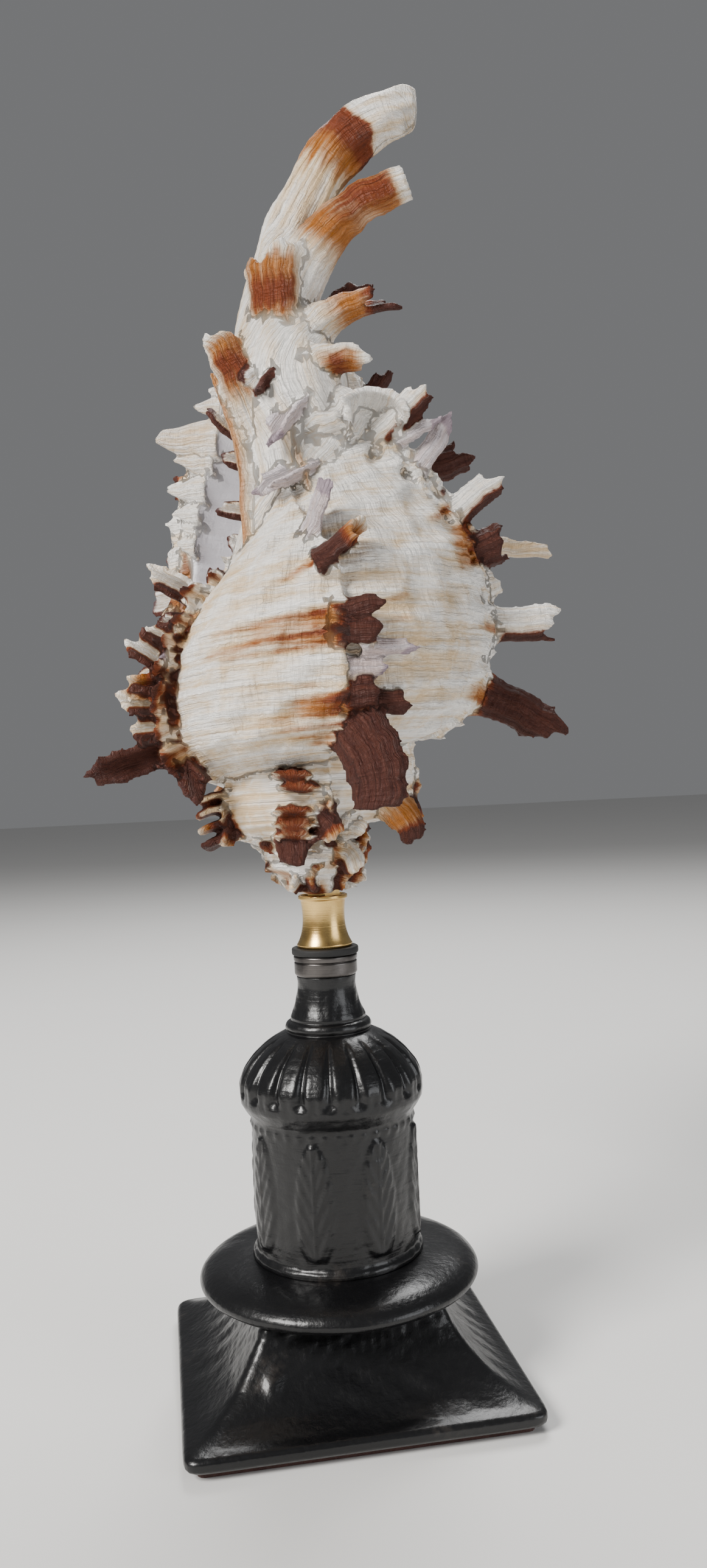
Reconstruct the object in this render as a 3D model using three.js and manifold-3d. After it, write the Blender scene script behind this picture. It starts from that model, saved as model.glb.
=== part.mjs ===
// A large endive murex shell standing apex down on a turned black stand with a brass neck.
// Millimetres, +Z up. The origin is the centre of the felt pad's underside; the sides of the
// square base lie along X and Y, with the front at -Y.
import * as THREE from "three";
import { LoftGeometry } from "three/addons/geometries/LoftGeometry.js";
import { mergeVertices } from "three/addons/utils/BufferGeometryUtils.js";
import Module from "manifold-3d";

const wasm = await Module();
wasm.setup();

// ---- Driving dimensions -------------------------------------------------------------------

const BASE_SIDE = 56; // the square foot
const PAD = { side: 52, thick: 1.2 };
const BASE = { bottom: 1.2, lipTop: 3.5, topSide: 29, top: 16.6 };
const RING = { radius: 24.5, bottom: 16.6, top: 21.4 };
const COLUMN = { bottom: 21.4, drum: 13.9, drumTop: 46.2, dome: 15.7, top: 68.4, flutes: 24 };
const COLLAR = { radius: 5.5, top: 72.0 };
const WASHER = { radius: 5.75, thick: 1.2 };
const NECK = { foot: 4.8, waist: 3.55, rim: 4.25, top: 82.2 };
const ROD = { radius: 1.5, bottom: 2.6, top: 93 };
const BORE = 1.8; // radius of the hole that every stacked piece has for the rod
const NUT = { across: 5.5, thick: 2.4 };
const RECESS = { radius: 5.4, top: 7.4 }; // under the base, for the lower washer and nut
const GAP = 0.3; // between pieces that would otherwise touch on a faceted face

// The shell's log spiral: angles in degrees, anticlockwise from +X seen from above, measured on
// the last whorl. The size at an angle is WHORL_GROWTH ** (angle / 360).
const WHORL_GROWTH = 2.05;
const LIP_ANGLE = 128;
const FIRST_ANGLE = -1330;
const VARIX_ANGLES = [-150, -73, 2, 62, LIP_ANGLE]; // oldest to youngest on the last whorl
const SHELL_AXIS = { x: -3.5, y: 0, z: 81.4, lean: 2.3, turn: -9.5 };
const CAVITY_FROM = -25; // the last whorl is hollow from here to the lip
const PIECE_LAP = 1.5; // degrees by which each lofted piece of the spiral enters the next

// The growing edge at full size: radius and height above the apex at each station, from the
// suture (0) over the shoulder (2) and the widest part (4) to the root of the canal (9).
const STATIONS = [
  [15.5, 27.5], [22.5, 29.5], [28.5, 35], [30.5, 43.5], [30.0, 52.5],
  [27.0, 62.0], [21.0, 70.5], [15.0, 78.0], [9.5, 85.0], [6.0, 91.0],
];
const SPIRE_BREADTH = 1.22; // the early whorls are this much broader than the spiral gives
const SPIRE_CORE = [[0, 1.2], [6.2, 1.2], [7.6, 5], [9.4, 11], [8.4, 22], [6, 60], [4, 92], [0, 92]];
const SPIRE_CORE_OFFSET = 1.6; // the broken apex is not quite on the shell's axis

// ---- Fronds -------------------------------------------------------------------------------
// On each varix: station, length, width, rise (degrees above the outward direction), curl
// (degrees more by the tip), sweep (degrees towards growth) and twist (turn of the open side).

const FRONDS = [
  [ // left front
    [1.6, 9, 4.2, -78, -10, 40, 20], [2.0, 17.5, 5.0, -14, -5, 5, 0], [2.6, 9, 4, -4, 0, 0, 0],
    [3.1, 11, 4.2, 4, 0, 0, 0], [3.5, 9, 4, 2, 0, 0, 0], [4.0, 10.5, 5, 30, 0, 0, 0],
    [4.55, 7.5, 4, 22, 0, 0, 0], [5.0, 6, 3.5, 8, 0, 0, 0], [5.8, 12, 4.6, 25, 0, 0, 0],
    [6.5, 5, 2.8, 52, 0, 0, 0], [7.1, 4, 2.2, 70, 0, 0, 0],
  ],
  [ // front
    [1.8, 13, 9.5, -44, -55, 24, -60], [2.25, 7, 3.4, 0, 0, 72, 0], [2.6, 4.5, 7, 0, 0, 30, 0],
    [2.95, 4, 3, 10, 0, 50, 0], [3.35, 6, 2.8, 5, 0, 68, 0], [3.8, 6, 6, 10, 0, 42, 0],
    [4.3, 6, 3.8, 12, 0, 55, 0], [5.3, 7.5, 5.4, 58, 0, 12, -30], [5.95, 7, 3.2, 62, 20, 14, 0],
  ],
  [ // right
    [2.1, 18.5, 6.4, -12, -26, 0, 0], [3.4, 15, 5.4, 4, -2, 0, 0], [4.15, 5.5, 4.6, 14, 0, 0, 0],
    [4.7, 8.5, 7, 20, 8, 0, 0], [5.05, 4, 4, 46, 0, 0, 0], [5.45, 12.5, 5.2, 44, -10, 0, 0],
    [5.95, 5, 3, 70, 0, 0, 0], [6.15, 4.5, 3, 66, 0, 0, 0], [6.4, 14, 4, 55, 0, 0, 0],
    [6.65, 5, 3, 72, 0, 0, 0], [6.95, 4, 2.8, 72, 0, 0, 0], [7.1, 13, 2.4, 26, 0, 0, 0],
    [7.45, 14, 5.2, 40, -4, 0, 0], [7.75, 8, 3.6, 66, 0, 0, 0],
  ],
  [ // back right
    [2.0, 19, 6.4, -22, -18, -6, 0], [2.7, 9, 4.4, -6, 0, 0, 0], [3.3, 12, 5, 4, 0, -4, 0],
    [3.9, 8, 4.4, 10, 0, -6, 0], [4.5, 10, 3.8, 2, 0, -10, 0], [5.2, 9, 4.6, 34, 0, -6, 0],
    [5.9, 21, 6.4, 20, 6, -42, 0], [6.6, 8, 3.8, 52, 0, 0, 0], [7.4, 10, 3.4, 62, 12, -20, 0],
  ],
  [ // the lip, back left
    [2.0, 20, 6.4, -14, -10, 12, 0], [2.6, 10, 5, -6, 0, 10, 0], [3.1, 13, 5.2, 0, 0, 8, 0],
    [3.7, 8, 4.4, 4, 0, 6, 0], [4.05, 6.5, 3.6, 6, 0, 4, 0], [4.5, 6, 3.8, 8, 0, 4, 0],
    [4.9, 11, 4.8, 8, 0, 4, 0], [5.35, 6.5, 4, 12, 0, 4, 0], [5.8, 13, 5.8, 8, -2, 4, 0],
    [6.45, 8, 4.2, 22, 0, 4, 0], [6.8, 6, 3.2, 30, 0, 4, 0], [7.15, 7, 3.6, 34, 0, 4, 0],
  ],
];

// On the spire's varices, whose upper stations the next whorl hides, at full-size length.
const SPIRE_TURNS = 2;
const SPIRE_FRONDS = [
  [2.0, 13, 9, -48, -25, 20, -30], [2.6, 6, 6, -6, 0, 20, 0], [3.1, 5, 5, 8, 0, 20, 0],
];

// Canals of the last varices and the fronds on the trunk: points of the centreline in the
// shell's own frame, from the apex, then the radius across and the radius through at each.
const TRUNK = [
  { at: [0, 0, 56], across: 9.5, through: 9 },
  { at: [-1, -1, 74], across: 10.5, through: 10 },
  { at: [-2.4, -1, 88], across: 10.4, through: 9.4 },
  { at: [-3.2, 0, 98], across: 8.2, through: 7.6 },
  { at: [-3.2, 1.5, 107], across: 5.6, through: 5.4 },
  { at: [-2.6, 2.5, 113], across: 4.6, through: 4.4 },
  { at: [0.6, 3, 121], across: 4.4, through: 4.1 },
  { at: [5.6, 3.2, 129.6], across: 4.4, through: 4.0 },
  { at: [11.8, 3, 135.2], across: 4.3, through: 3.9 },
  { at: [17.5, 2.5, 137.3], across: 4.0, through: 3.7 },
  { at: [20.6, 2.2, 137.3], across: 2.9, through: 2.7 },
];
const HORNS = [
  [ // second youngest, in front of the last
    { at: [-2, -3, 103], across: 5.2, through: 3.4 },
    { at: [3.4, -5, 110.6], across: 4.2, through: 3.4 },
    { at: [9.6, -6.4, 116], across: 3.6, through: 3.0 },
    { at: [18.4, -7.6, 119.6], across: 3.1, through: 2.6 },
  ],
  [ // third
    { at: [1, -3, 95.5], across: 4.6, through: 3 },
    { at: [6, -5, 99], across: 2.8, through: 2.2 },
    { at: [12, -6, 100.8], across: 1.9, through: 1.7 },
    { at: [18.0, -6.4, 100.8], across: 1.7, through: 1.5 },
  ],
  [ // fourth
    { at: [1, -5, 89.8], across: 4.2, through: 3 },
    { at: [7, -7, 90.8], across: 2.4, through: 2.0 },
    { at: [12.8, -8, 90], across: 1.8, through: 1.5 },
  ],
  [ // fifth, a broad flange
    { at: [1, -5, 76], across: 4.6, through: 3.2 },
    { at: [7, -9, 79.6], across: 4.0, through: 1.6 },
    { at: [13.4, -11, 79.8], across: 2.2, through: 1.1 },
  ],
  [ // broad frond on the canal's left
    { at: [-2.5, -3, 90], across: 4.2, through: 3 },
    { at: [-3.8, -6, 98], across: 3.9, through: 2.2 },
    { at: [-4.4, -7.4, 105], across: 4.0, through: 1.8 },
    { at: [-4.2, -7.4, 110.6], across: 4.3, through: 1.3 },
  ],
  [ // lower frond on the canal's left
    { at: [-6, -4, 78], across: 3.6, through: 2.6 },
    { at: [-9.4, -6.4, 86], across: 3.4, through: 2.0 },
    { at: [-12.2, -7.4, 92.2], across: 2.8, through: 1.5 },
    { at: [-14.4, -7.8, 95.2], across: 1.6, through: 1.0 },
  ],
  [ // behind the third canal
    { at: [2, 4, 99], across: 3, through: 2.6 },
    { at: [8, 6, 105.6], across: 2.2, through: 1.8 },
    { at: [12.4, 7, 109], across: 1.5, through: 1.2 },
  ],
  [ // long spear from behind the right varix
    { at: [28, 18, 63.5], across: 3.4, through: 2.6 },
    { at: [38, 17, 64.2], across: 2.2, through: 1.6 },
    { at: [49.6, 15, 62.6], across: 1.2, through: 1.0 },
  ],
];

// Scales on the free edge of the inner lip: height above the apex, and length.
const INNER_LIP_SCALES = [[83, 4.6], [75.6, 3.6], [66.8, 4.4], [61.4, 2.6]];
const INNER_LIP_ANGLE = 196;

// ---- Solids -------------------------------------------------------------------------------

const radians = THREE.MathUtils.degToRad;
const vec = (x, y, z) => new THREE.Vector3(x, y, z);

/** A closed geometry as a manifold-3d solid, turned the right way out. */
function solid(geometry, tolerance = 1e-4) {
  const bare = geometry.index ? geometry.toNonIndexed() : geometry.clone();
  bare.deleteAttribute("normal");
  bare.deleteAttribute("uv");
  const merged = mergeVertices(bare, tolerance);
  const source = merged.index.array;
  const triangles = [];
  for (let i = 0; i < source.length; i += 3) {
    const [a, b, c] = [source[i], source[i + 1], source[i + 2]];
    if (a !== b && b !== c && a !== c) triangles.push(a, b, c);
  }
  const vertProperties = merged.attributes.position.array;
  const make = (triVerts) =>
    new wasm.Manifold(new wasm.Mesh({ numProp: 3, vertProperties, triVerts: new Uint32Array(triVerts) }));
  const made = make(triangles);
  return made.volume() < 0 ? make([...triangles].reverse()) : made;
}

/** A capped solid through sections, whichever way round their points run. */
function lofted(sections) {
  const centre = (section) => {
    const sum = section.reduce((total, p) => total.add(p), vec(0, 0, 0));
    return sum.divideScalar(section.length);
  };
  const normal = vec(0, 0, 0);
  sections[0].forEach((p, i, all) => normal.add(p.clone().cross(all[(i + 1) % all.length])));
  const onward = centre(sections[1]).sub(centre(sections[0]));
  const ordered = normal.dot(onward) < 0 ? sections.map((section) => [...section].reverse()) : sections;
  return solid(new LoftGeometry(ordered, { capStart: true, capEnd: true }));
}

/** The union of many solids, joined in pairs. */
function joined(solids) {
  let rest = solids;
  while (rest.length > 1) {
    const next = [];
    for (let i = 0; i < rest.length; i += 2) next.push(rest[i + 1] ? rest[i].add(rest[i + 1]) : rest[i]);
    rest = next;
  }
  return rest[0];
}

/** The largest separate piece of a solid. */
function mainPiece(made) {
  return made.decompose().reduce((best, part) => (part.volume() > best.volume() ? part : best));
}

/** A solid as a three.js geometry. */
function geometryOf(made) {
  const mesh = made.getMesh();
  const positions = new Float32Array(mesh.numVert * 3);
  for (let i = 0; i < mesh.numVert; i++)
    positions.set(mesh.vertProperties.subarray(i * mesh.numProp, i * mesh.numProp + 3), i * 3);
  const geometry = new THREE.BufferGeometry()
    .setAttribute("position", new THREE.BufferAttribute(positions, 3))
    .setIndex(new THREE.BufferAttribute(mesh.triVerts, 1));
  geometry.computeVertexNormals();
  return geometry;
}

/** A profile of [radius, height] points revolved about Z. */
function revolved(profile, segments) {
  const points = profile.map(([r, z]) => new THREE.Vector2(r, z));
  return new THREE.LatheGeometry(points, segments).rotateX(Math.PI / 2);
}

function cylinder(radius, bottom, top, segments = 24) {
  return new THREE.CylinderGeometry(radius, radius, top - bottom, segments)
    .rotateX(Math.PI / 2)
    .translate(0, 0, (bottom + top) / 2);
}

/** A ring with a square section, as a washer is. */
function washer(inner, outer, bottom, top, segments = 32) {
  const corners = [[inner, bottom], [outer, bottom], [outer, top], [inner, top], [inner, bottom]];
  return revolved(corners, segments);
}

function boredSolid(geometry, bottom, top) {
  return geometryOf(solid(geometry).subtract(solid(cylinder(BORE, bottom - 1, top + 1))));
}

// ---- Shell --------------------------------------------------------------------------------

const growth = (angle) => WHORL_GROWTH ** (angle / 360);

const outline = new THREE.CatmullRomCurve3(
  STATIONS.map(([r, z]) => vec(r, 0, z)), false, "catmullrom", 0.5,
);

/** Radius and height of the growing edge at a station, at full size. */
function edgeAt(station) {
  const point = outline.getPoint(THREE.MathUtils.clamp(station / (STATIONS.length - 1), 0, 1));
  return [point.x, point.z];
}

/** How far a varix lags behind its own angle towards the canal. */
const slant = (station) => 30 * THREE.MathUtils.smoothstep(station, 4.5, 9);

/** The thickening of the wall at a varix, 0 between varices. */
function varixSwell(angle, station) {
  const gaps = VARIX_ANGLES.flatMap((varix) =>
    [0, 1, 2, 3].map((turn) => angle - (varix - slant(station) - 360 * turn)));
  return Math.max(...gaps.map((gap) => Math.exp(-((gap / (gap < 0 ? 12 : 6)) ** 2))));
}

/** A point of the spiral at an angle, given its full-size radius and height. */
function onSpiral(angle, radius, height) {
  const size = growth(angle);
  return vec(
    size * radius * Math.cos(radians(angle)), size * radius * Math.sin(radians(angle)), size * height,
  );
}

/** The closed section of the whorl at an angle. */
function whorlSection(angle, outerPoints = 13) {
  const section = [];
  const early = THREE.MathUtils.clamp(angle, -340, -235);
  const breadth = THREE.MathUtils.mapLinear(early, -340, -235, SPIRE_BREADTH, 1);
  for (let i = 0; i < outerPoints; i++) {
    const station = (i / (outerPoints - 1)) * (STATIONS.length - 1);
    const [r, z] = edgeAt(station);
    section.push(onSpiral(angle, (r + 1.6 * varixSwell(angle, station)) * breadth, z));
  }
  for (const [r, z] of [[0.3, 91], [0.3, 70], [0.3, 48], [0.3, 26]]) section.push(onSpiral(angle, r, z));
  return section;
}

/** The section of the living chamber inside the last half whorl. */
function chamberSection(angle) {
  const ring = [
    [15, 34], [24, 36.5], [27.4, 43.5], [27.2, 52.5], [24.4, 61], [18.8, 68.4], [13.5, 72.6],
    [8.5, 72.5], [7.4, 64], [7, 54], [8, 44], [10.5, 37],
  ];
  return ring.map(([r, z]) => onSpiral(angle, r, z));
}

/** Lofts a section over a range of angles in steps, as pieces short enough not to cross. */
function spiralSolid(sectionAt, from, to, step, anglesPerPiece) {
  const pieces = [];
  for (let start = from; start < to; start += anglesPerPiece) {
    const end = Math.min(start + anglesPerPiece + PIECE_LAP, to);
    const count = Math.max(1, Math.round((end - start) / step));
    const sections = [];
    for (let i = 0; i <= count; i++) sections.push(sectionAt(start + ((end - start) * i) / count));
    pieces.push(lofted(sections));
  }
  return joined(pieces);
}

/** A flattened horn along centreline points, with a half-width and half-depth at each. */
function horn(centre, acrossDirection, halfWidths, halfDepths, sides = 6) {
  const sections = centre.map((point, i) => {
    const next = centre[Math.min(i + 1, centre.length - 1)];
    const along = next.clone().sub(centre[Math.max(i - 1, 0)]).normalize();
    const across = acrossDirection.clone().addScaledVector(along, -acrossDirection.dot(along)).normalize();
    const through = along.clone().cross(across);
    return Array.from({ length: sides }, (_, k) => {
      const turn = (k / sides) * 2 * Math.PI;
      return point.clone()
        .addScaledVector(across, halfWidths[i] * Math.cos(turn))
        .addScaledVector(through, halfDepths[i] * Math.sin(turn));
    });
  });
  return lofted(sections);
}

/** One frond rooted on the spiral at an angle and station. */
function frond(varixAngle, [station, length, width, rise, curl, sweep, twist], scale = 1) {
  const angle = varixAngle - slant(station);
  const [r, z] = edgeAt(station);
  const outward = vec(Math.cos(radians(angle)), Math.sin(radians(angle)), 0);
  const forward = vec(-Math.sin(radians(angle)), Math.cos(radians(angle)), 0);
  const steps = length * scale > 8 ? 3 : 1;
  const heading = (share) => {
    const climb = radians(rise + curl * share);
    return outward.clone().multiplyScalar(Math.cos(climb)).add(vec(0, 0, Math.sin(climb)))
      .multiplyScalar(Math.cos(radians(sweep))).addScaledVector(forward, Math.sin(radians(sweep)));
  };
  const point = onSpiral(angle, r, z).addScaledVector(heading(0), -1.6 * scale);
  const centre = [point.clone()];
  for (let i = 1; i <= steps; i++)
    centre.push(point.addScaledVector(heading(i / steps), ((length + 1.6) * scale) / steps).clone());
  const across = forward.clone().cross(heading(0)).normalize().applyAxisAngle(heading(0), radians(twist));
  const taper = centre.map((_, i) => ((1.25 - 0.59 * (i / steps)) * width * scale) / 2);
  return horn(centre, across, taper, taper.map((half) => Math.max(0.5, half * 0.5)));
}

/** A canal or trunk frond through its listed points. */
function canal(points, sides = 8) {
  const centre = points.map(({ at }) => vec(...at));
  const across = vec(0, -1, 0).cross(centre.at(-1).clone().sub(centre[0])).normalize();
  return horn(centre, across, points.map((p) => p.across), points.map((p) => p.through), sides);
}

/** The small scales on the free edge of the inner lip. */
function innerLipScales() {
  const outward = vec(Math.cos(radians(INNER_LIP_ANGLE)), Math.sin(radians(INNER_LIP_ANGLE)), 0);
  return INNER_LIP_SCALES.map(([height, length]) => {
    const root = outward.clone().multiplyScalar(7.4).add(vec(0, 0, height));
    const tip = outward.clone().multiplyScalar(9.6 + length).add(vec(0, 0, height + 0.6));
    return horn([root, tip], vec(0, 0, 1), [2.0, 1.1], [1.4, 0.7]);
  });
}

/** The whole shell in its own frame, apex at the origin and axis along Z. */
function shellSolid() {
  const early = spiralSolid(whorlSection, FIRST_ANGLE, CAVITY_FROM + PIECE_LAP, 20, 180);
  const last = spiralSolid(whorlSection, CAVITY_FROM, LIP_ANGLE, 15, 180);
  const chamber = spiralSolid(chamberSection, CAVITY_FROM + 12, LIP_ANGLE + 2, 20, 180);
  const core = solid(revolved(SPIRE_CORE, 12).translate(SPIRE_CORE_OFFSET, 0, 0));
  const fronds = FRONDS.flatMap((rows, i) => rows.map((row) => frond(VARIX_ANGLES[i], row)));
  const spire = [];
  for (let turn = 1; turn <= SPIRE_TURNS; turn++)
    for (const varix of VARIX_ANGLES) {
      const angle = varix - 360 * turn;
      const rows = SPIRE_FRONDS.slice(0, turn === 1 ? 3 : 1);
      for (const row of rows) spire.push(frond(angle, row, growth(angle)));
    }
  return joined([
    last.subtract(chamber), early, core, canal(TRUNK, 12), ...HORNS.map((points) => canal(points)),
    ...fronds, ...spire, ...innerLipScales(),
  ]);
}

/** Where the shell stands on the stand: leaning a little, and turned to show its front. */
function shellMatrix() {
  return new THREE.Matrix4().makeRotationZ(radians(SHELL_AXIS.turn))
    .multiply(new THREE.Matrix4().makeTranslation(SHELL_AXIS.x, SHELL_AXIS.y, SHELL_AXIS.z))
    .multiply(new THREE.Matrix4().makeRotationY(radians(SHELL_AXIS.lean)));
}

function shellMesh() {
  const placed = shellMatrix();
  const back = placed.clone().invert();
  const seat = cylinder(NECK.rim + 0.45, 60, NECK.top + GAP).applyMatrix4(back);
  const bore = cylinder(NUT.across / 2 + 0.7, 60, ROD.top + 0.8).applyMatrix4(back);
  const cut = shellSolid().subtract(solid(seat)).subtract(solid(bore));
  let geometry = geometryOf(cut.simplify(0.05)).applyMatrix4(placed);
  for (let round = 0; round < 3; round++) {
    const made = solid(geometry, 1e-3);
    geometry = geometryOf(mainPiece(made));
  }
  return part("murex_shell", geometry, SHELL_MATERIAL);
}

// ---- Materials ----------------------------------------------------------------------------

const finish = (color, roughness, metalness) =>
  new THREE.MeshStandardMaterial({ color, roughness, metalness });
const SHELL_MATERIAL = finish(0xede6dc, 0.45, 0);
const BLACK_PAINT = finish(0x17171a, 0.35, 0);
const BRASS = finish(0xb98b3e, 0.25, 1);
const STEEL = finish(0x8d8f92, 0.35, 1);
const GUNMETAL = finish(0x35343a, 0.4, 0.8);
const RUBBER = finish(0x0c0c0d, 0.7, 0);
const FELT = finish(0x3a201c, 0.95, 0);
const PUTTY = finish(0xcfc6b4, 0.8, 0);

// ---- Stand --------------------------------------------------------------------------------

/** A four-sided revolved profile: its radius is the half side, measured square to a face. */
function squareRevolved(profile) {
  return revolved(profile.map(([half, z]) => [half * Math.SQRT2, z]), 4).rotateZ(Math.PI / 4);
}

function baseGeometry() {
  const half = BASE_SIDE / 2;
  const topHalf = BASE.topSide / 2;
  const flare = new THREE.QuadraticBezierCurve(
    new THREE.Vector2(half - 2.2, BASE.lipTop + 0.5),
    new THREE.Vector2(half - 9.5, BASE.lipTop + 3.4),
    new THREE.Vector2(topHalf, BASE.top),
  );
  const profile = [
    [0, BASE.bottom], [half - 0.6, BASE.bottom], [half, BASE.bottom + 0.6], [half, BASE.lipTop - 0.5],
    [half - 0.5, BASE.lipTop], ...flare.getPoints(6).map((p) => [p.x, p.y]), [0, BASE.top],
  ];
  const recess = cylinder(RECESS.radius, 0, RECESS.top, 32);
  const bored = solid(squareRevolved(profile)).subtract(solid(recess));
  return geometryOf(bored.subtract(solid(cylinder(BORE, 0, BASE.top + 1))));
}

function ringProfile() {
  const { radius, bottom, top } = RING;
  const rim = new THREE.CubicBezierCurve(
    new THREE.Vector2(radius - 3.2, bottom), new THREE.Vector2(radius + 1.0, bottom),
    new THREE.Vector2(radius + 0.6, top - 0.6), new THREE.Vector2(COLUMN.drum + 1.8, top),
  );
  return [[BORE, bottom], ...rim.getPoints(8).map((p) => [p.x, p.y]), [BORE, top], [BORE, bottom]];
}

/** The column's outline from the drum's foot to the neck's top. */
function columnProfile() {
  const { bottom, drum, drumTop, dome, top } = COLUMN;
  const crown = new THREE.CubicBezierCurve(
    new THREE.Vector2(dome - 0.1, drumTop + 1.4), new THREE.Vector2(dome + 1.0, drumTop + 6.6),
    new THREE.Vector2(dome - 4.6, drumTop + 11.2), new THREE.Vector2(7.8, drumTop + 12.6),
  );
  return [
    [BORE, bottom], [drum + 0.7, bottom], [drum + 0.7, bottom + 0.8], [drum, bottom + 1.5],
    [drum, drumTop - 1.2], [dome - 0.9, drumTop],
    ...crown.getPoints(6).map((p) => [p.x, p.y]),
    [7.1, drumTop + 12.8], [7.5, drumTop + 13.6], [7.1, drumTop + 14.4], [6.4, drumTop + 14.7],
    [6.5, drumTop + 15.2], [5.5, drumTop + 17.6], [4.95, drumTop + 20.2],
    [5.1, top], [BORE, top], [BORE, bottom],
  ];
}

/** The column with shallow flutes cut over the dome. */
function columnGeometry() {
  const geometry = revolved(columnProfile(), COLUMN.flutes * 2);
  const position = geometry.attributes.position;
  const low = COLUMN.drumTop + 1.2;
  const high = COLUMN.drumTop + 12.4;
  for (let i = 0; i < position.count; i++) {
    const z = position.getZ(i);
    const radius = Math.hypot(position.getX(i), position.getY(i));
    if (z < low || z > high || radius < 7) continue;
    const step = Math.round((Math.atan2(position.getY(i), position.getX(i)) / Math.PI) * COLUMN.flutes);
    const inward = step % 2 ? 1 - 0.55 / radius : 1;
    position.setXY(i, position.getX(i) * inward, position.getY(i) * inward);
  }
  return geometryOf(solid(geometry));
}

function neckProfile() {
  const bottom = COLLAR.top + WASHER.thick;
  const waist = new THREE.CubicBezierCurve(
    new THREE.Vector2(NECK.foot, bottom + 0.5), new THREE.Vector2(NECK.waist - 0.1, bottom + 2.6),
    new THREE.Vector2(NECK.waist - 0.1, bottom + 5.6), new THREE.Vector2(NECK.rim - 0.35, NECK.top - 0.8),
  );
  return [
    [BORE, bottom], [NECK.foot - 0.2, bottom], ...waist.getPoints(6).map((p) => [p.x, p.y]),
    [NECK.rim, NECK.top - 0.7], [NECK.rim, NECK.top - 0.15], [NECK.rim - 0.25, NECK.top],
    [NECK.rim - 0.5, NECK.top], [3.45, NECK.top - 0.55], [BORE, NECK.top - 0.55], [BORE, bottom],
  ];
}

function hexNut(bottom, top) {
  const nut = cylinder(NUT.across / Math.sqrt(3), bottom, top, 6);
  return boredSolid(nut, bottom, top);
}

function collarProfile() {
  const { radius, top } = COLLAR;
  const bottom = COLUMN.top;
  return [
    [BORE, bottom], [radius - 0.4, bottom], [radius - 0.1, bottom + 0.4], [radius - 0.1, top - 1.1],
    [radius, top - 0.8], [radius, top - 0.25], [radius - 0.25, top], [BORE, top], [BORE, bottom],
  ];
}

/** The putty that beds the rod's end inside the shell. */
function puttyGeometry() {
  const bottom = NECK.top - 0.55 + NUT.thick + GAP;
  return washer(ROD.radius + GAP, NUT.across / 2 + 0.35, bottom, ROD.top, 16);
}

function part(name, geometry, material) {
  const mesh = new THREE.Mesh(geometry, material);
  mesh.name = name;
  return mesh;
}

const neckBottom = COLLAR.top + WASHER.thick;
const nutSeat = NECK.top - 0.55;
const recessed = RECESS.top - 0.8;
const padGeometry = new THREE.BoxGeometry(PAD.side, PAD.side, PAD.thick).translate(0, 0, PAD.thick / 2);

const stand = new THREE.Group();
stand.add(
  part("felt_pad", padGeometry, FELT),
  part("square_base", baseGeometry(), BLACK_PAINT),
  part("ring_plinth", revolved(ringProfile(), 40), BLACK_PAINT),
  part("fluted_column", columnGeometry(), BLACK_PAINT),
  part("collar", revolved(collarProfile(), 28), GUNMETAL),
  part("seating_washer", washer(BORE, WASHER.radius, COLLAR.top, neckBottom, 28), RUBBER),
  part("brass_neck", revolved(neckProfile(), 28), BRASS),
  part("brass_lock_nut", hexNut(nutSeat, nutSeat + NUT.thick), BRASS),
  part("centre_rod", cylinder(ROD.radius, ROD.bottom, ROD.top, 16), STEEL),
  part("lower_washer", washer(BORE, 4.6, recessed, RECESS.top, 24), STEEL),
  part("lower_nut", hexNut(recessed - NUT.thick, recessed), STEEL),
  part("bedding_putty", puttyGeometry(), PUTTY),
);

const murexOnStand = new THREE.Group();
murexOnStand.add(stand, shellMesh());

export default murexOnStand;
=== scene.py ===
"""A large endive murex shell, apex down, on a turned black stand with a brass neck."""

import logging
import math
from dataclasses import dataclass, field
from enum import Enum, IntEnum

import bmesh
import bpy
import numpy as np
from mathutils import Matrix, Vector
from mathutils.kdtree import KDTree


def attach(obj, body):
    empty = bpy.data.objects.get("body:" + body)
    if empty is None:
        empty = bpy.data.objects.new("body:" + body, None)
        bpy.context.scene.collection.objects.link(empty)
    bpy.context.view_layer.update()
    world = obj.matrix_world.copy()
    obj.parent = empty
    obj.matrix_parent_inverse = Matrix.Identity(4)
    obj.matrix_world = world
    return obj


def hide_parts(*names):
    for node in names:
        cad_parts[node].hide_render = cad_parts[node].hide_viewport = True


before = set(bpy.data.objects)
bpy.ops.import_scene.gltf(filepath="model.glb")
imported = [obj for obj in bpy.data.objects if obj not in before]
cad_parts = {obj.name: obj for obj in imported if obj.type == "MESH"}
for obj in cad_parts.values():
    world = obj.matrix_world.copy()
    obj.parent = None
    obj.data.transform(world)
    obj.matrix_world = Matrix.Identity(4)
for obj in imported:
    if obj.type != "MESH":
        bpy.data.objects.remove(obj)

log = logging.getLogger("murex")
Array = np.ndarray
Colour = tuple[float, float, float]
MM = 0.001
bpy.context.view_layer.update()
# what each point of the shell carries: stains from 0 to 1, places along and across its grain in mm,
# and how deep in a groove it is
TAGS = ("chestnut", "amber", "lilac", "pearl", "along", "across", "groove")
STAINS = 4


def smoothstep(low: float, high: float, value: Array) -> Array:
    """An S-curve from 0 at low to 1 at high.

    Args:
        low: where the curve leaves 0.
        high: where the curve reaches 1; it may be below low.
        value: the numbers to look up.

    Returns:
        The curve's values.
    """
    share = np.clip((value - low) / (high - low), 0.0, 1.0)
    return share * share * (3.0 - 2.0 * share)


def bell(value: Array, width: float) -> Array:
    """A bell curve of height 1 around 0."""
    return np.exp(-((value / width) ** 2))


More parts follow.
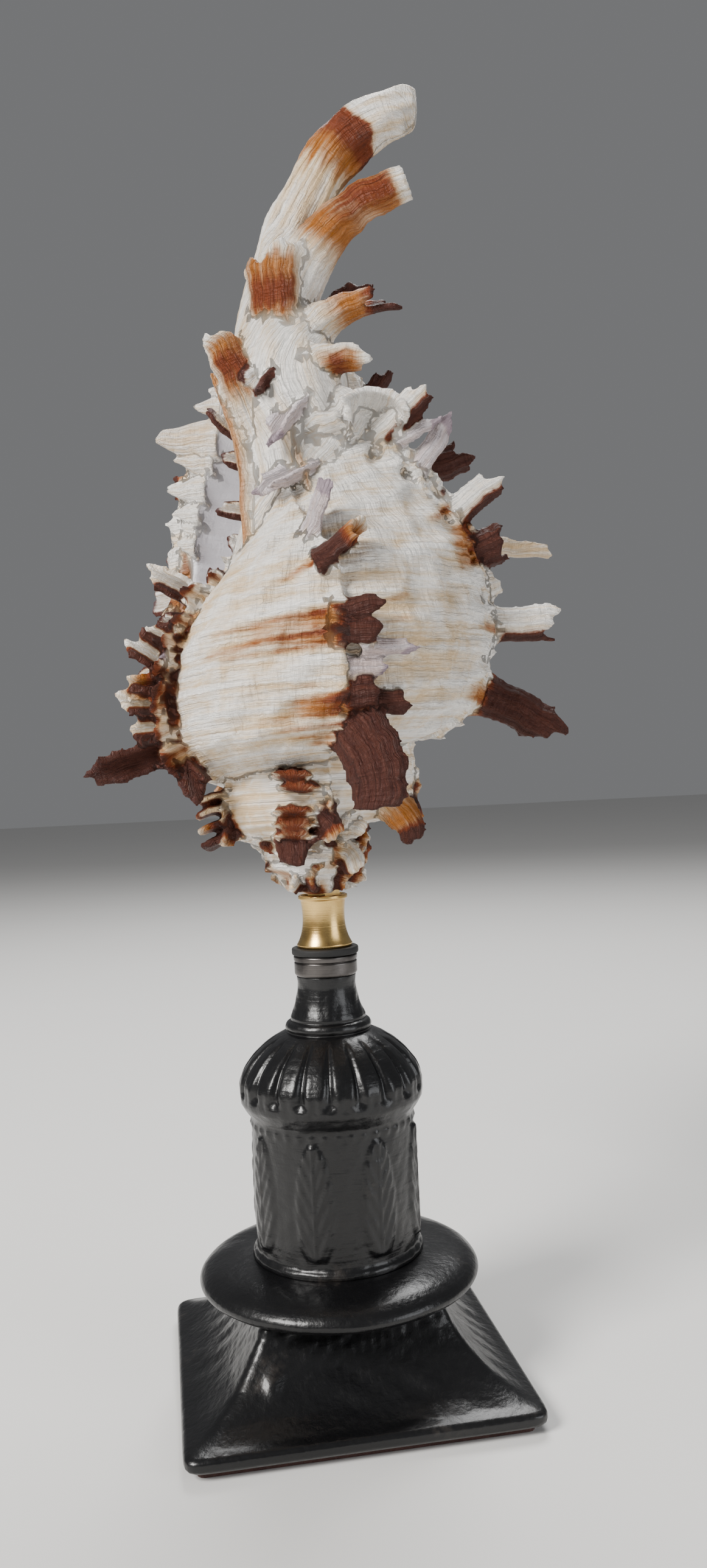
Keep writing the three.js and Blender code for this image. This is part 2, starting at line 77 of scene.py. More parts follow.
def rumple(points: Array, wavelength: float, seed: int) -> Array:
    """Smooth seeded noise, about -1 to 1, as a sum of crossing waves.

    Args:
        points: an N by k array of places.
        wavelength: the typical distance between crests.
        seed: which pattern.

    Returns:
        One number for each point.
    """
    draw = np.random.default_rng(seed)
    total = np.zeros(len(points))
    for _ in range(7):
        direction = draw.normal(size=points.shape[1])
        direction *= draw.uniform(0.6, 1.7) / (np.linalg.norm(direction) * wavelength)
        total += np.sin(2 * math.pi * (points @ direction) + draw.uniform(0, 2 * math.pi))
    return total / 3.2


def curve_through(controls: Array, share: Array) -> Array:
    """A Catmull-Rom curve through control points.

    Args:
        controls: a K by d array of control points.
        share: places along the curve, from 0 to 1.

    Returns:
        An N by d array of points.
    """
    last = len(controls) - 1
    padded = np.vstack([2 * controls[0] - controls[1], controls, 2 * controls[-1] - controls[-2]])
    place = np.clip(share, 0, 1) * last
    index = np.minimum(place.astype(int), last - 1)
    t = (place - index)[:, None]
    a, b, c, d = (padded[index + k] for k in range(4))
    return 0.5 * (2 * b + (c - a) * t + (2 * a - 5 * b + 4 * c - d) * t**2 + (3 * b - a - 3 * c + d) * t**3)


def unit(vectors: Array) -> Array:
    """Rows of numbers, each divided by its length."""
    return vectors / np.linalg.norm(vectors, axis=1)[:, None]


def heading_on(controls: Array, share: Array, step: float) -> Array:
    """The unit directions of a curve through control points, over a step to each side."""
    return unit(curve_through(controls, share + step) - curve_through(controls, share - step))


def columns(*values: Array | float) -> Array:
    """One row for each point, from an array or a single number for each column."""
    return np.stack(np.broadcast_arrays(*values), -1)


def outward_at(turn: float) -> Array:
    """The level direction at an angle in radians."""
    return np.array([math.cos(turn), math.sin(turn), 0.0])


def tagged(count: int, **values: Array | float) -> Array:
    """The tags of some points, with 0 for those that aren't given.

    Args:
        count: how many points.
        values: one number, or one for each point, by the names in TAGS.

    Returns:
        A count by 7 array.
    """
    made = np.zeros((count, len(TAGS)))
    for name, value in values.items():
        made[:, TAGS.index(name)] = value
    return made


def coarse() -> int:
    """How many times coarser the shell is grown; 1 grows it at full detail."""
    return 1


# ---- The shell ----------------------------------------------------------------------------


class Pigment(Enum):
    """How a frond is coloured from its root to its tip."""

    WHITE = "white"
    DARK = "dark"
    ROOT = "root"
    TIP = "tip"
    EDGE = "edge"
    CARAMEL = "caramel"
    CANAL = "canal"
    HOLLOW = "hollow"
    LILAC = "lilac"
    SEAM = "seam"
    RIM = "rim"
    TOOTH = "tooth"


# how strongly the root of a frond stains the whorl around it, and how many degrees back and on that reaches
HALO = {
    Pigment.WHITE: 0.12, Pigment.DARK: 0.95, Pigment.ROOT: 0.95, Pigment.TIP: 0.25,
    Pigment.EDGE: 0.55, Pigment.CARAMEL: 0.7, Pigment.CANAL: 0.3, Pigment.HOLLOW: 0.3,
    Pigment.LILAC: 0.35, Pigment.SEAM: 0.5, Pigment.TOOTH: 0.0, Pigment.RIM: 0.6,
}
HALO_BACK, HALO_ON = 13.0, 5.0
# how high the ribs of a frond stand, where that isn't 1
RIB_HEIGHT = {Pigment.TOOTH: 0.12, Pigment.DARK: 1.4}


def pigment_on(
    kind: Pigment, along: Array, across: Array, inside: Array,
) -> tuple[Array, Array, Array]:
    """The three stains of a frond's surface.

    Args:
        kind: the frond's pattern.
        along: 0 at the root to 1 at the tip.
        across: -1 at the lower margin to 1 at the upper one.
        inside: 1 on the gutter's inner face, 0 outside.

    Returns:
        Chestnut, amber and lilac, each from 0 to 1.
    """
    zero = np.zeros_like(along)
    lower = smoothstep(-0.1, 0.75, -across)
    if kind is Pigment.DARK:
        front = along + 0.06 * np.cos(15 * across) + 0.03 * np.cos(37 * across)
        dark = smoothstep(0.1, 0.28, front) * (1 - 0.6 * inside * (1 - smoothstep(0.7, 1.0, along)))
        amber, lilac = 0.95 * (1 - smoothstep(0.2, 0.42, front)), 0.45 * inside
    elif kind is Pigment.ROOT:
        dark, amber = 1 - smoothstep(0.45, 0.8, along), bell(along - 0.68, 0.25)
        lilac = 0.2 * inside
    elif kind is Pigment.TIP:
        dark, amber, lilac = smoothstep(0.52, 0.8, along), bell(along - 0.52, 0.28), 0.3 * inside
    elif kind is Pigment.EDGE:
        dark, amber, lilac = lower * smoothstep(0.05, 0.4, along), 0.8 * lower, 0.3 * inside
    elif kind is Pigment.CARAMEL:
        stroke = 0.07 * np.cos(19 * across)
        band = smoothstep(0.1, 0.4, along + stroke) * (1 - smoothstep(0.78, 0.92, along + stroke))
        band = band * (1 - 0.8 * smoothstep(0.5, 1.0, np.abs(across)))
        dark, lilac = band * (0.12 + 0.36 * bell(along - 0.5, 0.14)), zero
        amber = band * (0.98 + 0.16 * np.cos(19 * across) * smoothstep(0.4, 0.7, along))
    elif kind is Pigment.CANAL:
        band = smoothstep(0.1, 0.45, along) * (1 - smoothstep(0.9, 0.96, along))
        dark = band * (0.1 + 0.36 * bell(across - 0.2, 0.4) * smoothstep(0.35, 0.7, along))
        amber, lilac = band * (0.95 + 0.14 * np.sin(17 * along + 4 * across)), zero
    elif kind is Pigment.HOLLOW:
        span = 1 - 0.7 * smoothstep(0.6, 1.0, np.abs(across))
        dark, amber = span * (0.75 - 0.35 * smoothstep(0.74, 0.95, along)), 0.9 * span
        lilac = zero
    elif kind is Pigment.LILAC:
        dark, amber, lilac = smoothstep(0.68, 0.9, along) + 0.5 * lower * along, 0.3 * lower, zero + 0.85
    elif kind is Pigment.SEAM:
        dark, amber, lilac = zero, bell(across, 0.45) * 0.95, zero
    elif kind is Pigment.RIM:
        both = np.abs(across)
        tip = 0.8 * smoothstep(0.85, 1.0, along)
        dark = smoothstep(0.5, 0.85, both) * smoothstep(0.02, 0.25, along) + tip
        amber, lilac = smoothstep(0.3, 0.75, both), zero
    elif kind is Pigment.TOOTH:
        dark, amber, lilac = zero, zero, zero + 0.35
    else:
        dark, amber, lilac = zero, 0.1 * lower, 0.25 * inside
    return dark + zero, amber + zero, lilac + zero


@dataclass(frozen=True)
class Frond:
    """One hollow, gutter-shaped frond rooted on a varix; lengths in mm, angles in degrees."""

    station: float
    length: float
    width: float
    rise: float
    curl: float
    sweep: float
    twist: float
    pigment: Pigment
    flare: float = 0.66
    wrap: float = 200.0
    ahead: float = 0.0


@dataclass(frozen=True)
class Horn:
    """A canal or trunk frond along its own points: x, y, z, half-width and half-depth, in mm."""

    rings: tuple[tuple[float, float, float, float, float], ...]
    pigment: Pigment
    wrap: float
    open_to: tuple[float, float, float]
    ragged: float = 0.12


class Seed(IntEnum):
    """Where the seeds of each kind of growth start."""

    FRILL = 50
    FROND = 100
    SPIRE_FRILL = 200
    SPIRE_FOLD = 230
    SPIRE_FROND = 300
    APEX_SCALE = 400
    HORN = 600
    LIP_SCALE = 700
    SMALL_SCALE = 900


def alike(
    pigment: Pigment, wrap: float, open_to: tuple[float, float, float], ragged: float,
    *shapes: tuple[tuple[float, float, float, float, float], ...],
) -> tuple[Horn, ...]:
    """Horns that differ only in their rings.

    Args:
        pigment: how they are coloured.
        wrap: how many degrees they go round.
        open_to: the side on which they are open.
        ragged: the depth of the notches in their ends.
        shapes: the rings of each.

    Returns:
        One horn for each shape, in their order.
    """
    return tuple(Horn(rings, pigment, wrap, open_to, ragged) for rings in shapes)


W, D, R, T, E, C, L, S, P, M, H = (
    Pigment.WHITE, Pigment.DARK, Pigment.ROOT, Pigment.TIP, Pigment.EDGE, Pigment.CARAMEL,
    Pigment.LILAC, Pigment.SEAM, Pigment.TOOTH, Pigment.RIM, Pigment.HOLLOW,
)

FRONDS = (
    (  # left front
        Frond(1.6, 11, 4.2, -78, -10, 40, 20, D, 0.6, 170),
        Frond(1.4, 9, 3.4, -60, -20, 70, 0, D, 0.5, 170),
        Frond(2.0, 18.5, 5.0, -14, -5, 5, 0, D, 0.7, 170),
        Frond(2.6, 9, 4.4, -4, 0, 0, 0, M), Frond(3.1, 11, 4.6, 4, 0, 0, 0, M),
        Frond(3.5, 9, 4.2, 2, 0, 0, 0, R),
        Frond(4.0, 10.5, 5, 30, 0, 0, 0, M), Frond(4.55, 7.5, 4.4, 22, 0, 0, 0, M),
        Frond(5.0, 6, 3.5, 8, 0, 0, 0, D), Frond(5.8, 12, 4.6, 25, 0, 0, 0, E),
        Frond(6.5, 5, 2.8, 52, 0, 0, 0, D), Frond(7.1, 4, 2.2, 70, 0, 0, 0, W),
    ),
    (  # front
        Frond(2.2, 8, 3.2, 0, 0, 70, 0, D, 0.75, 200, 9), Frond(2.45, 5, 4.4, 4, 0, 60, 0, D, 0.8, 200, 4),
        Frond(2.9, 5, 2.6, 10, 0, 66, 0, L, 0.7, 200, 6), Frond(3.3, 8, 2.6, 2, 0, 72, 0, L, 0.7, 200, 9),
        Frond(3.68, 7.5, 4.2, 4, -10, 66, 0, D, 0.45), Frond(4.08, 8, 3.6, 18, 0, 62, 0, D, 0.5),
        Frond(5.2, 8.5, 5.6, 50, 0, 36, -30, R, 0.9), Frond(6.0, 9, 4.4, 58, 24, 14, 0, L, 0.8),
    ),
    (  # right
        Frond(2.1, 18.5, 6.4, -12, -26, 0, 0, D, 0.8), Frond(3.4, 15, 5.4, 4, -2, 0, 0, E, 0.95),
        Frond(4.15, 5.5, 4.6, 14, 0, 0, 0, W), Frond(4.7, 8.5, 7, 20, 8, 0, 0, D),
        Frond(5.05, 4, 4, 46, 0, 0, 0, R), Frond(5.45, 12.5, 5.2, 44, -10, 0, 0, E),
        Frond(5.95, 5, 3, 70, 0, 0, 0, W), Frond(6.15, 4.5, 3, 66, 0, 0, 0, W),
        Frond(6.4, 14, 4, 55, 0, 0, 0, L), Frond(6.65, 5, 3, 72, 0, 0, 0, W),
        Frond(6.95, 4, 2.8, 72, 0, 0, 0, W), Frond(7.1, 13, 2.4, 26, 0, 0, 0, L),
        Frond(7.45, 14, 5.2, 40, -4, 0, 0, E), Frond(7.75, 8, 3.6, 66, 0, 0, 0, W),
    ),
    (  # back right
        Frond(2.0, 19, 6.4, -22, -18, -6, 0, D), Frond(2.7, 9, 4.4, -6, 0, 0, 0, D),
        Frond(3.3, 12, 5, 4, 0, -4, 0, E), Frond(3.9, 8, 4.4, 10, 0, -6, 0, D),
        Frond(4.5, 10, 3.8, 2, 0, -10, 0, W), Frond(5.2, 9, 4.6, 34, 0, -6, 0, D),
        Frond(5.9, 21, 6.4, 20, 6, -42, 0, D), Frond(6.6, 8, 3.8, 52, 0, 0, 0, E),
        Frond(7.4, 10, 3.4, 62, 12, -20, 0, D),
    ),
    (  # the lip, back left
        Frond(2.0, 20, 6.4, -14, -10, 12, 0, D), Frond(2.6, 10, 5, -6, 0, 10, 0, D),
        Frond(3.1, 13, 5.2, 0, 0, 8, 0, D), Frond(3.7, 8, 4.4, 4, 0, 6, 0, D),
        Frond(4.05, 6.5, 3.6, 6, 0, 4, 0, W), Frond(4.5, 6, 3.8, 8, 0, 4, 0, W),
        Frond(4.9, 11, 4.8, 8, 0, 4, 0, T), Frond(5.35, 6.5, 4, 12, 0, 4, 0, W),
        Frond(5.8, 13, 5.8, 8, -2, 4, 0, W), Frond(6.45, 8, 4.2, 22, 0, 4, 0, W),
        Frond(6.8, 6, 3.2, 30, 0, 4, 0, W), Frond(7.15, 7, 3.6, 34, 0, 4, 0, E),
    ),
)
SPIRE_FRONDS = (
    Frond(2.0, 13, 9, -48, -25, 20, -30, R, 0.8), Frond(2.6, 6, 6, -6, 0, 20, 0, R),
    Frond(3.1, 5, 5, 8, 0, 20, 0, W),
)
SPIRE_TURNS = 2
SPIRE_WEB, SPIRE_FOLD_WEB = (0.15, 0.6, 2.4), (0.0, 0.2, 1.2)
# for each varix: how far the web reaches up its fronds, how brown its edge is, its plain height in mm
WEBS = ((0.5, 0.9, 2.6), (0.12, 0.3, 0.8), (0.16, 0.35, 1.5), (0.25, 0.6, 2.0), (0.2, 0.0, 1.8))
LEAST_WEB = 1.0
# the folds of a web: degrees behind the varix, and size
WEB_FOLDS = ((0.0, 1.0), (3.4, 0.6), (7.5, 0.42))
FRONT_VARIX = 1
# radius and height of the worn apex, and how far it stands off the spiral's axis, in mm
APEX = (
    (0, 1.2), (3.7, 1.2), (4.6, 2.4), (6.6, 5), (8.8, 9), (9.4, 14), (8.4, 24), (6, 60), (4, 92), (0, 92),
)
APEX_OFF = 1.6
# scales on the inner lip: height, length and rise, in mm
LIP_SCALES = ((79, 6.4, 5.4), (74.6, 4.6, 1.2), (66.4, 5.4, 0.8), (60.8, 3.6, 0.8))

# streaks that no frond bleeds: start angle, end angle, start station, end station, width, strength
STREAKS = (
    (-134, -76, 3.86, 3.74, 0.085, 1.25),
    (-122, -76, 3.6, 3.5, 0.07, 1.2),
    (-128, -76, 4.24, 4.12, 0.07, 1.3),
    (-112, -76, 4.02, 3.94, 0.06, 1.0),
    (-100, -74, 4.9, 5.2, 0.08, 1.2),
    (-94, -70, 2.42, 2.4, 0.1, 1.3),
    (-110, -66, 2.1, 2.14, 0.07, 1.3),
    (-102, -68, 1.84, 1.84, 0.07, 1.3),
    (-96, -66, 1.58, 1.6, 0.07, 1.3),
    (-90, -64, 1.32, 1.36, 0.07, 1.3),
    (-120, -82, 2.8, 2.74, 0.07, 0.8),
    (-66, -48, 4.1, 4.2, 0.07, 1.0),
    (-66, -50, 3.72, 3.78, 0.07, 1.0),
    (-27, -2, 4.5, 4.62, 0.07, 1.1),
    (-24, -2, 4.72, 4.82, 0.07, 1.2),
    (-26, -2, 4.94, 5.0, 0.07, 1.1),
    (-20, -2, 5.15, 5.2, 0.07, 1.1),
    (-30, -2, 5.5, 5.6, 0.08, 1.1),
    (-18, -2, 3.4, 3.42, 0.07, 0.9),
    (-18, -2, 2.3, 2.25, 0.08, 1.1),
    (-16, -2, 2.05, 2.0, 0.08, 1.1),
    (-466, -440, 1.7, 1.5, 0.5, 0.8),
    (-470, -446, 4.2, 4.1, 0.3, 0.8),
    (-526, -500, 2.2, 2.2, 0.9, 0.8),
)

# the siphonal canal's centre, half-width and half-depth, in mm
TRUNK = (
    (0.6, 0, 56, 8.6, 8.8), (0.2, -1, 74, 8.9, 9.6), (-2.0, -1, 88, 9.8, 9.2), (-3.2, 0, 98, 8.0, 7.6),
    (-3.2, 1.5, 107, 5.6, 5.4), (-2.6, 2.5, 113, 4.6, 4.4), (0.6, 3, 121, 4.4, 4.1),
    (5.6, 3.2, 129.6, 4.4, 4.0), (11.8, 3, 135.2, 4.3, 3.9), (17.5, 2.5, 137.3, 4.0, 3.7),
    (20.6, 2.2, 137.3, 2.9, 2.7),
)
HORNS = (
    Horn(((-2, -3, 103, 5.0, 3.4), (3.4, -5, 110.6, 3.7, 3.1), (9.6, -6.4, 116, 2.9, 2.6),
          (18.6, -7.6, 119.8, 2.4, 2.2)), Pigment.CANAL, 330, (0.3, 0.6, 0.6), 0.0),
    Horn(((1, -3, 95.5, 4.6, 3), (6, -5, 99, 2.8, 2.2), (12, -6, 100.8, 1.9, 1.7),
          (18, -6.4, 100.8, 1.7, 1.5)), T, 230, (0, 0.2, 1), 0.3),
    Horn(((1, -5, 89.8, 4.2, 3), (7, -7, 90.8, 2.4, 2.0), (12.8, -8, 90, 1.8, 1.5)),
         C, 220, (0, 0.2, 1), 0.25),
    Horn(((1, -5, 76, 4.6, 3.2), (5, -8, 78.6, 3.8, 1.6), (9.4, -9.4, 79, 2.2, 1.1)),
         W, 200, (0, 0.4, 1), 0.2),
    Horn(((-2.5, -3, 90, 4.2, 3), (-3.8, -6, 98, 3.9, 2.2), (-4.4, -7.4, 105, 4.0, 1.8),
          (-4.2, -7.4, 110.6, 4.3, 1.3)), C, 190, (0.2, 1, 0.1), 0.2),
    Horn(((-6, -4, 78, 3.6, 2.6), (-9.4, -6.4, 86, 3.4, 2.0), (-12.2, -7.4, 92.2, 2.8, 1.5),
          (-14.4, -7.8, 95.2, 1.6, 1.0)), C, 190, (-0.5, 0.8, 0.3), 0.2),
    Horn(((2, 4, 99, 3, 2.6), (8, 6, 105.6, 2.2, 1.8), (12.4, 7, 109, 1.5, 1.2)),
         D, 220, (0, 0.4, 1), 0.25),
    Horn(((28, 18, 63.5, 3.4, 2.6), (37, 17, 64.2, 2.2, 1.6), (46.5, 15.6, 62.9, 1.1, 0.9)),
         W, 240, (0, 0, 1), 0.05),
    # the raised edge of the inner lip, and the fainter seam beside it
    Horn(((-11.0, -2.7, 89, 1.0, 5.2), (-9.2, -4.6, 81.6, 1.1, 4.0), (-7.9, -5.8, 75, 1.2, 3.2),
          (-7.3, -6.3, 67, 1.2, 2.8), (-6.9, -6.8, 60, 1.2, 2.8), (-7.3, -7.4, 53, 1.1, 2.6)),
         S, 220, (0.76, 0.65, 0), 0.0),
    Horn(((-3.4, -7.4, 88, 0.6, 1.8), (-1.6, -8.2, 79.8, 0.6, 2.0), (0.4, -9.0, 73.3, 0.6, 2.0),
          (2.0, -10.0, 67, 0.6, 2.0), (3.2, -12, 61, 0.5, 1.6)), S, 210, (0, 1, 0), 0.0),
    # the callus that fills the angle between the last whorl and the canal
    Horn(((-9.5, -3.5, 55, 2.6, 2.6), (-6.0, -5.2, 62, 4.0, 3.2), (-1.5, -6.2, 69, 5.0, 3.6),
          (2.5, -6.6, 75.5, 5.4, 3.6), (7.0, -5.6, 81, 5.0, 3.2), (10, -4.5, 84, 3.8, 2.6)),
         P, 350, (0.2, 1, 0.2), 0.0),
    # the broad white fold between the canal and the right varix
    Horn(((9, -2, 73, 5.0, 3.6), (11.4, -6, 78, 4.8, 3.4), (12.8, -9, 81.6, 4.6, 3.0),
          (13.2, -11.4, 83.4, 4.2, 2.4)), W, 200, (-0.15, 0.3, -0.95), 0.06),
    # broken scales on the inner lip
    Horn(((0.8, -8, 83.5, 2.4, 1.4), (-2.5, -11.6, 79.4, 2.1, 1.3), (-5.2, -13, 74.4, 1.3, 0.9)),
         L, 210, (-0.6, -0.7, 0), 0.3),
    Horn(((2, -8.5, 73, 2.4, 1.4), (-3.6, -12.2, 69.4, 2.1, 1.2), (-8.2, -13, 66.6, 1.2, 0.8)),
         L, 210, (-0.3, -0.6, 0.6), 0.3),
    Horn(((-4.6, -4, 89.5, 2.6, 1.8), (-6.4, -9.4, 87, 2.1, 1.6), (-7.4, -11, 83.6, 1.3, 1.1)),
         D, 230, (-0.2, -0.8, 0.4), 0.3),
    # the broad ribbed blade under the front varix
    Horn(((4.6, -17.8, 31.4, 4.2, 1.8), (9.2, -23.4, 28.4, 4.6, 1.8), (12.2, -27.0, 22.6, 4.1, 1.6),
          (12.6, -28.4, 15.6, 2.5, 1.2)), D, 165, (0.35, 0.93, 0), 0.02),
    # scales of the early whorls
    *alike(
        H, 150, (0, -0.3, -1), 0.1,
        ((-10, -4, 17.6, 2.4, 0.9), (-14.4, -6, 17.4, 2.2, 0.8), (-17.6, -7, 16.6, 1.2, 0.5)),
        ((-10, -4, 15.4, 2.4, 0.9), (-14.6, -6, 15.0, 2.2, 0.8), (-17.8, -7, 14.0, 1.2, 0.5)),
    ),
    Horn(((-9.6, -4, 13.2, 2.4, 0.9), (-14, -6, 12.6, 2.2, 0.8), (-17.2, -7, 11.4, 1.2, 0.5)),
         R, 150, (0, -0.3, -1), 0.1),
    Horn(((-9, -4, 11.2, 2.4, 1.2), (-13, -6, 10.2, 2.2, 1.0), (-16.4, -7, 8.2, 1.2, 0.7)),
         D, 160, (0, -0.3, -1), 0.1),
    *alike(
        H, 160, (0, -0.3, -1), 0.0,
        ((-1.0, -11, 14.6, 3.0, 1.0), (-0.8, -15.6, 15.2, 2.8, 0.8), (-0.6, -17.6, 15.4, 2.4, 0.5)),
        ((-1.0, -10, 12.6, 3.0, 1.0), (-0.8, -14.4, 13.2, 2.8, 0.8), (-0.6, -16.6, 13.4, 2.4, 0.5)),
        ((-1.2, -9, 10.8, 2.8, 1.0), (-1.0, -13.0, 11.4, 2.8, 0.8), (-0.8, -15.4, 11.6, 2.2, 0.5)),
    ),
    Horn(((-1.8, -8.5, 12.0, 2.6, 1.4), (-1.0, -12.8, 9.6, 2.5, 1.1), (-0.9, -14.6, 6.2, 1.3, 0.7)),
         D, 165, (0.3, 0.9, -0.2), 0.12),
    Horn(((1.0, -9, 9.4, 1.4, 0.8), (2.8, -13, 10.8, 1.4, 0.7), (4.6, -15, 12.2, 0.7, 0.5)),
         D, 170, (0.3, 0.4, -0.8), 0.12),
    *alike(
        H, 150, (0, -0.3, -1), 0.0,
        ((-0.9, -13, 21.0, 3.4, 0.8), (-0.7, -18.2, 21.2, 3.2, 0.6), (-0.6, -19.6, 21.3, 2.6, 0.4)),
        ((0.3, -12, 19.0, 3.4, 0.8), (0.5, -17.2, 19.2, 3.2, 0.6), (0.6, -18.6, 19.3, 2.6, 0.4)),
    ),
    Horn(((6.5, -5, 8.6, 2.2, 1.0), (8.6, -9, 7.4, 2.2, 0.9), (9.8, -10.4, 5.2, 1.2, 0.6)),
         E, 170, (0.5, 0.6, -0.4), 0.15),
    *alike(
        W, 170, (0.5, 0.6, -0.4), 0.12,
        ((7.5, -7, 12, 1.8, 0.9), (9.4, -11, 12.4, 1.6, 0.7), (11.2, -12.4, 11.6, 0.7, 0.4)),
        ((6, -8, 14, 1.8, 0.9), (7.4, -12.4, 14.4, 1.5, 0.7), (8.8, -13.8, 14, 0.6, 0.4)),
    ),
    Horn(((12, -5, 18.6, 3.6, 1.8), (15.6, -9, 16.2, 3.0, 1.5), (18.4, -10.4, 12.6, 1.9, 1.1),
          (19.0, -10.8, 9.4, 0.9, 0.7)), T, 175, (0.3, 0.8, -0.4), 0.12),
    # the teeth of the outer lip
    *alike(
        P, 320, (0, 1, 0), 0.0,
        ((-15.5, 23, 86.5, 4.4, 2.8), (-21, 26, 87.2, 3.4, 2.2), (-27, 27, 87.4, 2.0, 1.4),
         (-29.8, 27, 87.4, 0.3, 0.3)),
        ((-17, 25, 82.6, 3.0, 2.2), (-21.5, 27, 83.2, 2.2, 1.7), (-26.4, 28, 83.5, 0.3, 0.3)),
        ((-19, 27, 77.6, 3.0, 2.2), (-23.5, 28.5, 77.8, 2.0, 1.5), (-28.0, 29.5, 77.8, 0.3, 0.3)),
        ((-20, 28, 73.2, 2.8, 2.2), (-23.4, 29.4, 73.4, 1.9, 1.5), (-26.4, 30, 73.6, 0.3, 0.3)),
        ((-21, 28.6, 70, 2.4, 1.8), (-23, 29.6, 70.6, 1.6, 1.2), (-25.2, 30, 71.2, 0.3, 0.3)),
        ((-21, 28.6, 67, 2.8, 2.2), (-23.4, 29.6, 67.4, 1.9, 1.5), (-26.2, 30, 67.8, 0.3, 0.3)),
        ((-10, 20, 91.6, 3, 2), (-16, 22.6, 92.3, 2.3, 1.5), (-22.0, 24, 92.8, 0.3, 0.3)),
        ((-8, 18, 94, 3, 2), (-13, 20.6, 95, 2.2, 1.4), (-18.8, 22, 95.4, 0.3, 0.3)),
    ),
)


@dataclass(frozen=True)
class Spiral:
    """The shell's log spiral and the growing edge that it carries."""

    growth: float = 2.05
    lip_angle: float = 128.0
    first_angle: float = -1330.0
    varices: tuple[float, ...] = (-150.0, -73.0, 2.0, 62.0, 128.0)
    late_angle: float = -560.0
    spire_breadth: float = 1.22
    middle: tuple[float, float] = (16.0, 53.0)
    edge: tuple[tuple[float, float], ...] = (
        (15.5, 27.5), (22.5, 29.5), (28.5, 35), (30.5, 43.5), (30, 52.5),
        (27, 62), (21, 70.5), (15, 78), (9.5, 85), (6, 91),
    )
    inner_edge: tuple[tuple[float, float], ...] = (
        (15, 34), (20, 35.5), (25.4, 38.5), (27.6, 44.5), (27.4, 52.5),
        (24.6, 61.3), (18.8, 68.6), (13.5, 72.6), (10.5, 73.2), (8.5, 72.5),
    )
    core: tuple[tuple[float, float], ...] = (
        (6, 91), (0.3, 89), (0.3, 70), (0.3, 48), (0.3, 28), (15.5, 27.5),
    )
    inner_core: tuple[tuple[float, float], ...] = (
        (8.5, 72.5), (7.4, 64), (7, 54), (8, 44), (10.5, 37), (15, 34),
    )

    @property
    def last_station(self) -> int:
        """The number of the last station on the growing edge."""
        return len(self.edge) - 1

    def size(self, angle: Array) -> Array:
        """The shell's relative size at an angle in degrees."""
        return self.growth ** (np.asarray(angle) / 360.0)

    def breadth(self, angle: Array) -> Array:
        """How much broader than the spiral the early whorls are."""
        return 1 + (self.spire_breadth - 1) * np.clip((-235 - np.asarray(angle)) / 105, 0, 1)

    def edge_at(self, station: Array) -> tuple[Array, Array]:
        """Radius and height of the growing edge at stations, at full size."""
        found = curve_through(np.array(self.edge, float), np.atleast_1d(station) / self.last_station)
        return found[:, 0], found[:, 1]

    def slant(self, station: Array) -> Array:
        """How many degrees a varix lags towards the canal."""
        return 30 * smoothstep(4.5, 9.0, np.asarray(station, float))

    def place(self, angle: Array, radius: Array, height: Array) -> Array:
        """Points of the spiral, N by 3, in mm from the apex."""
        size, turn = self.size(angle), np.radians(angle)
        return np.stack([size * radius * np.cos(turn), size * radius * np.sin(turn), size * height], -1)

    def grain(self, angle: Array, station: Array) -> tuple[Array, Array]:
        """Rough distances along and across a whorl in mm, for patterns that follow its growth."""
        size = self.size(angle)
        return np.radians(angle) * 30 * size, station * 9.5 * size

    def varix_gap(self, angle: Array, station: Array) -> tuple[Array, Array]:
        """Degrees back to the last varix and on to the next one.

        Args:
            angle: angles on the spiral.
            station: stations on the growing edge.

        Returns:
            Two arrays of positive degrees.
        """
        lines = np.sort([v - 360 * turn for v in self.varices for turn in range(5)] + [self.lip_angle + 90])
        phase = angle + self.slant(station)
        after = np.clip(np.searchsorted(lines, phase, side="right"), 1, len(lines) - 1)
        return phase - lines[after - 1], lines[after] - phase


@dataclass
class Skin:
    """Gathers the shell's surfaces in one bmesh, with the stains and grain of each vertex."""

    bm: bmesh.types.BMesh = field(default_factory=bmesh.new)
    points: list[Array] = field(default_factory=list)
    tags: list[Array] = field(default_factory=list)

    def grid(self, across: int, along: int) -> tuple[list[bmesh.types.BMVert], Array, Array]:
        """A new grid of vertices to be moved into place.

        Args:
            across: the number of segments one way.
            along: the number of segments the other way.

        Returns:
            The vertices and their two places, each from 0 to 1.
        """
        made = bmesh.ops.create_grid(self.bm, x_segments=across, y_segments=along, size=0.5)
        verts = made["verts"]
        flat = np.array([v.co[:2] for v in verts]) + 0.5
        return verts, flat[:, 0], flat[:, 1]

    def settle(self, verts: list[bmesh.types.BMVert], places: Array, tags: Array) -> None:
        """Moves vertices into place and keeps their tags.

        Args:
            verts: the vertices.
            places: their new places, N by 3.
            tags: chestnut, amber, lilac, pearl, grain along, grain across and groove, N by 7.
        """
        for vert, place in zip(verts, places):
            vert.co = place
        self.points.append(places)
        self.tags.append(tags)


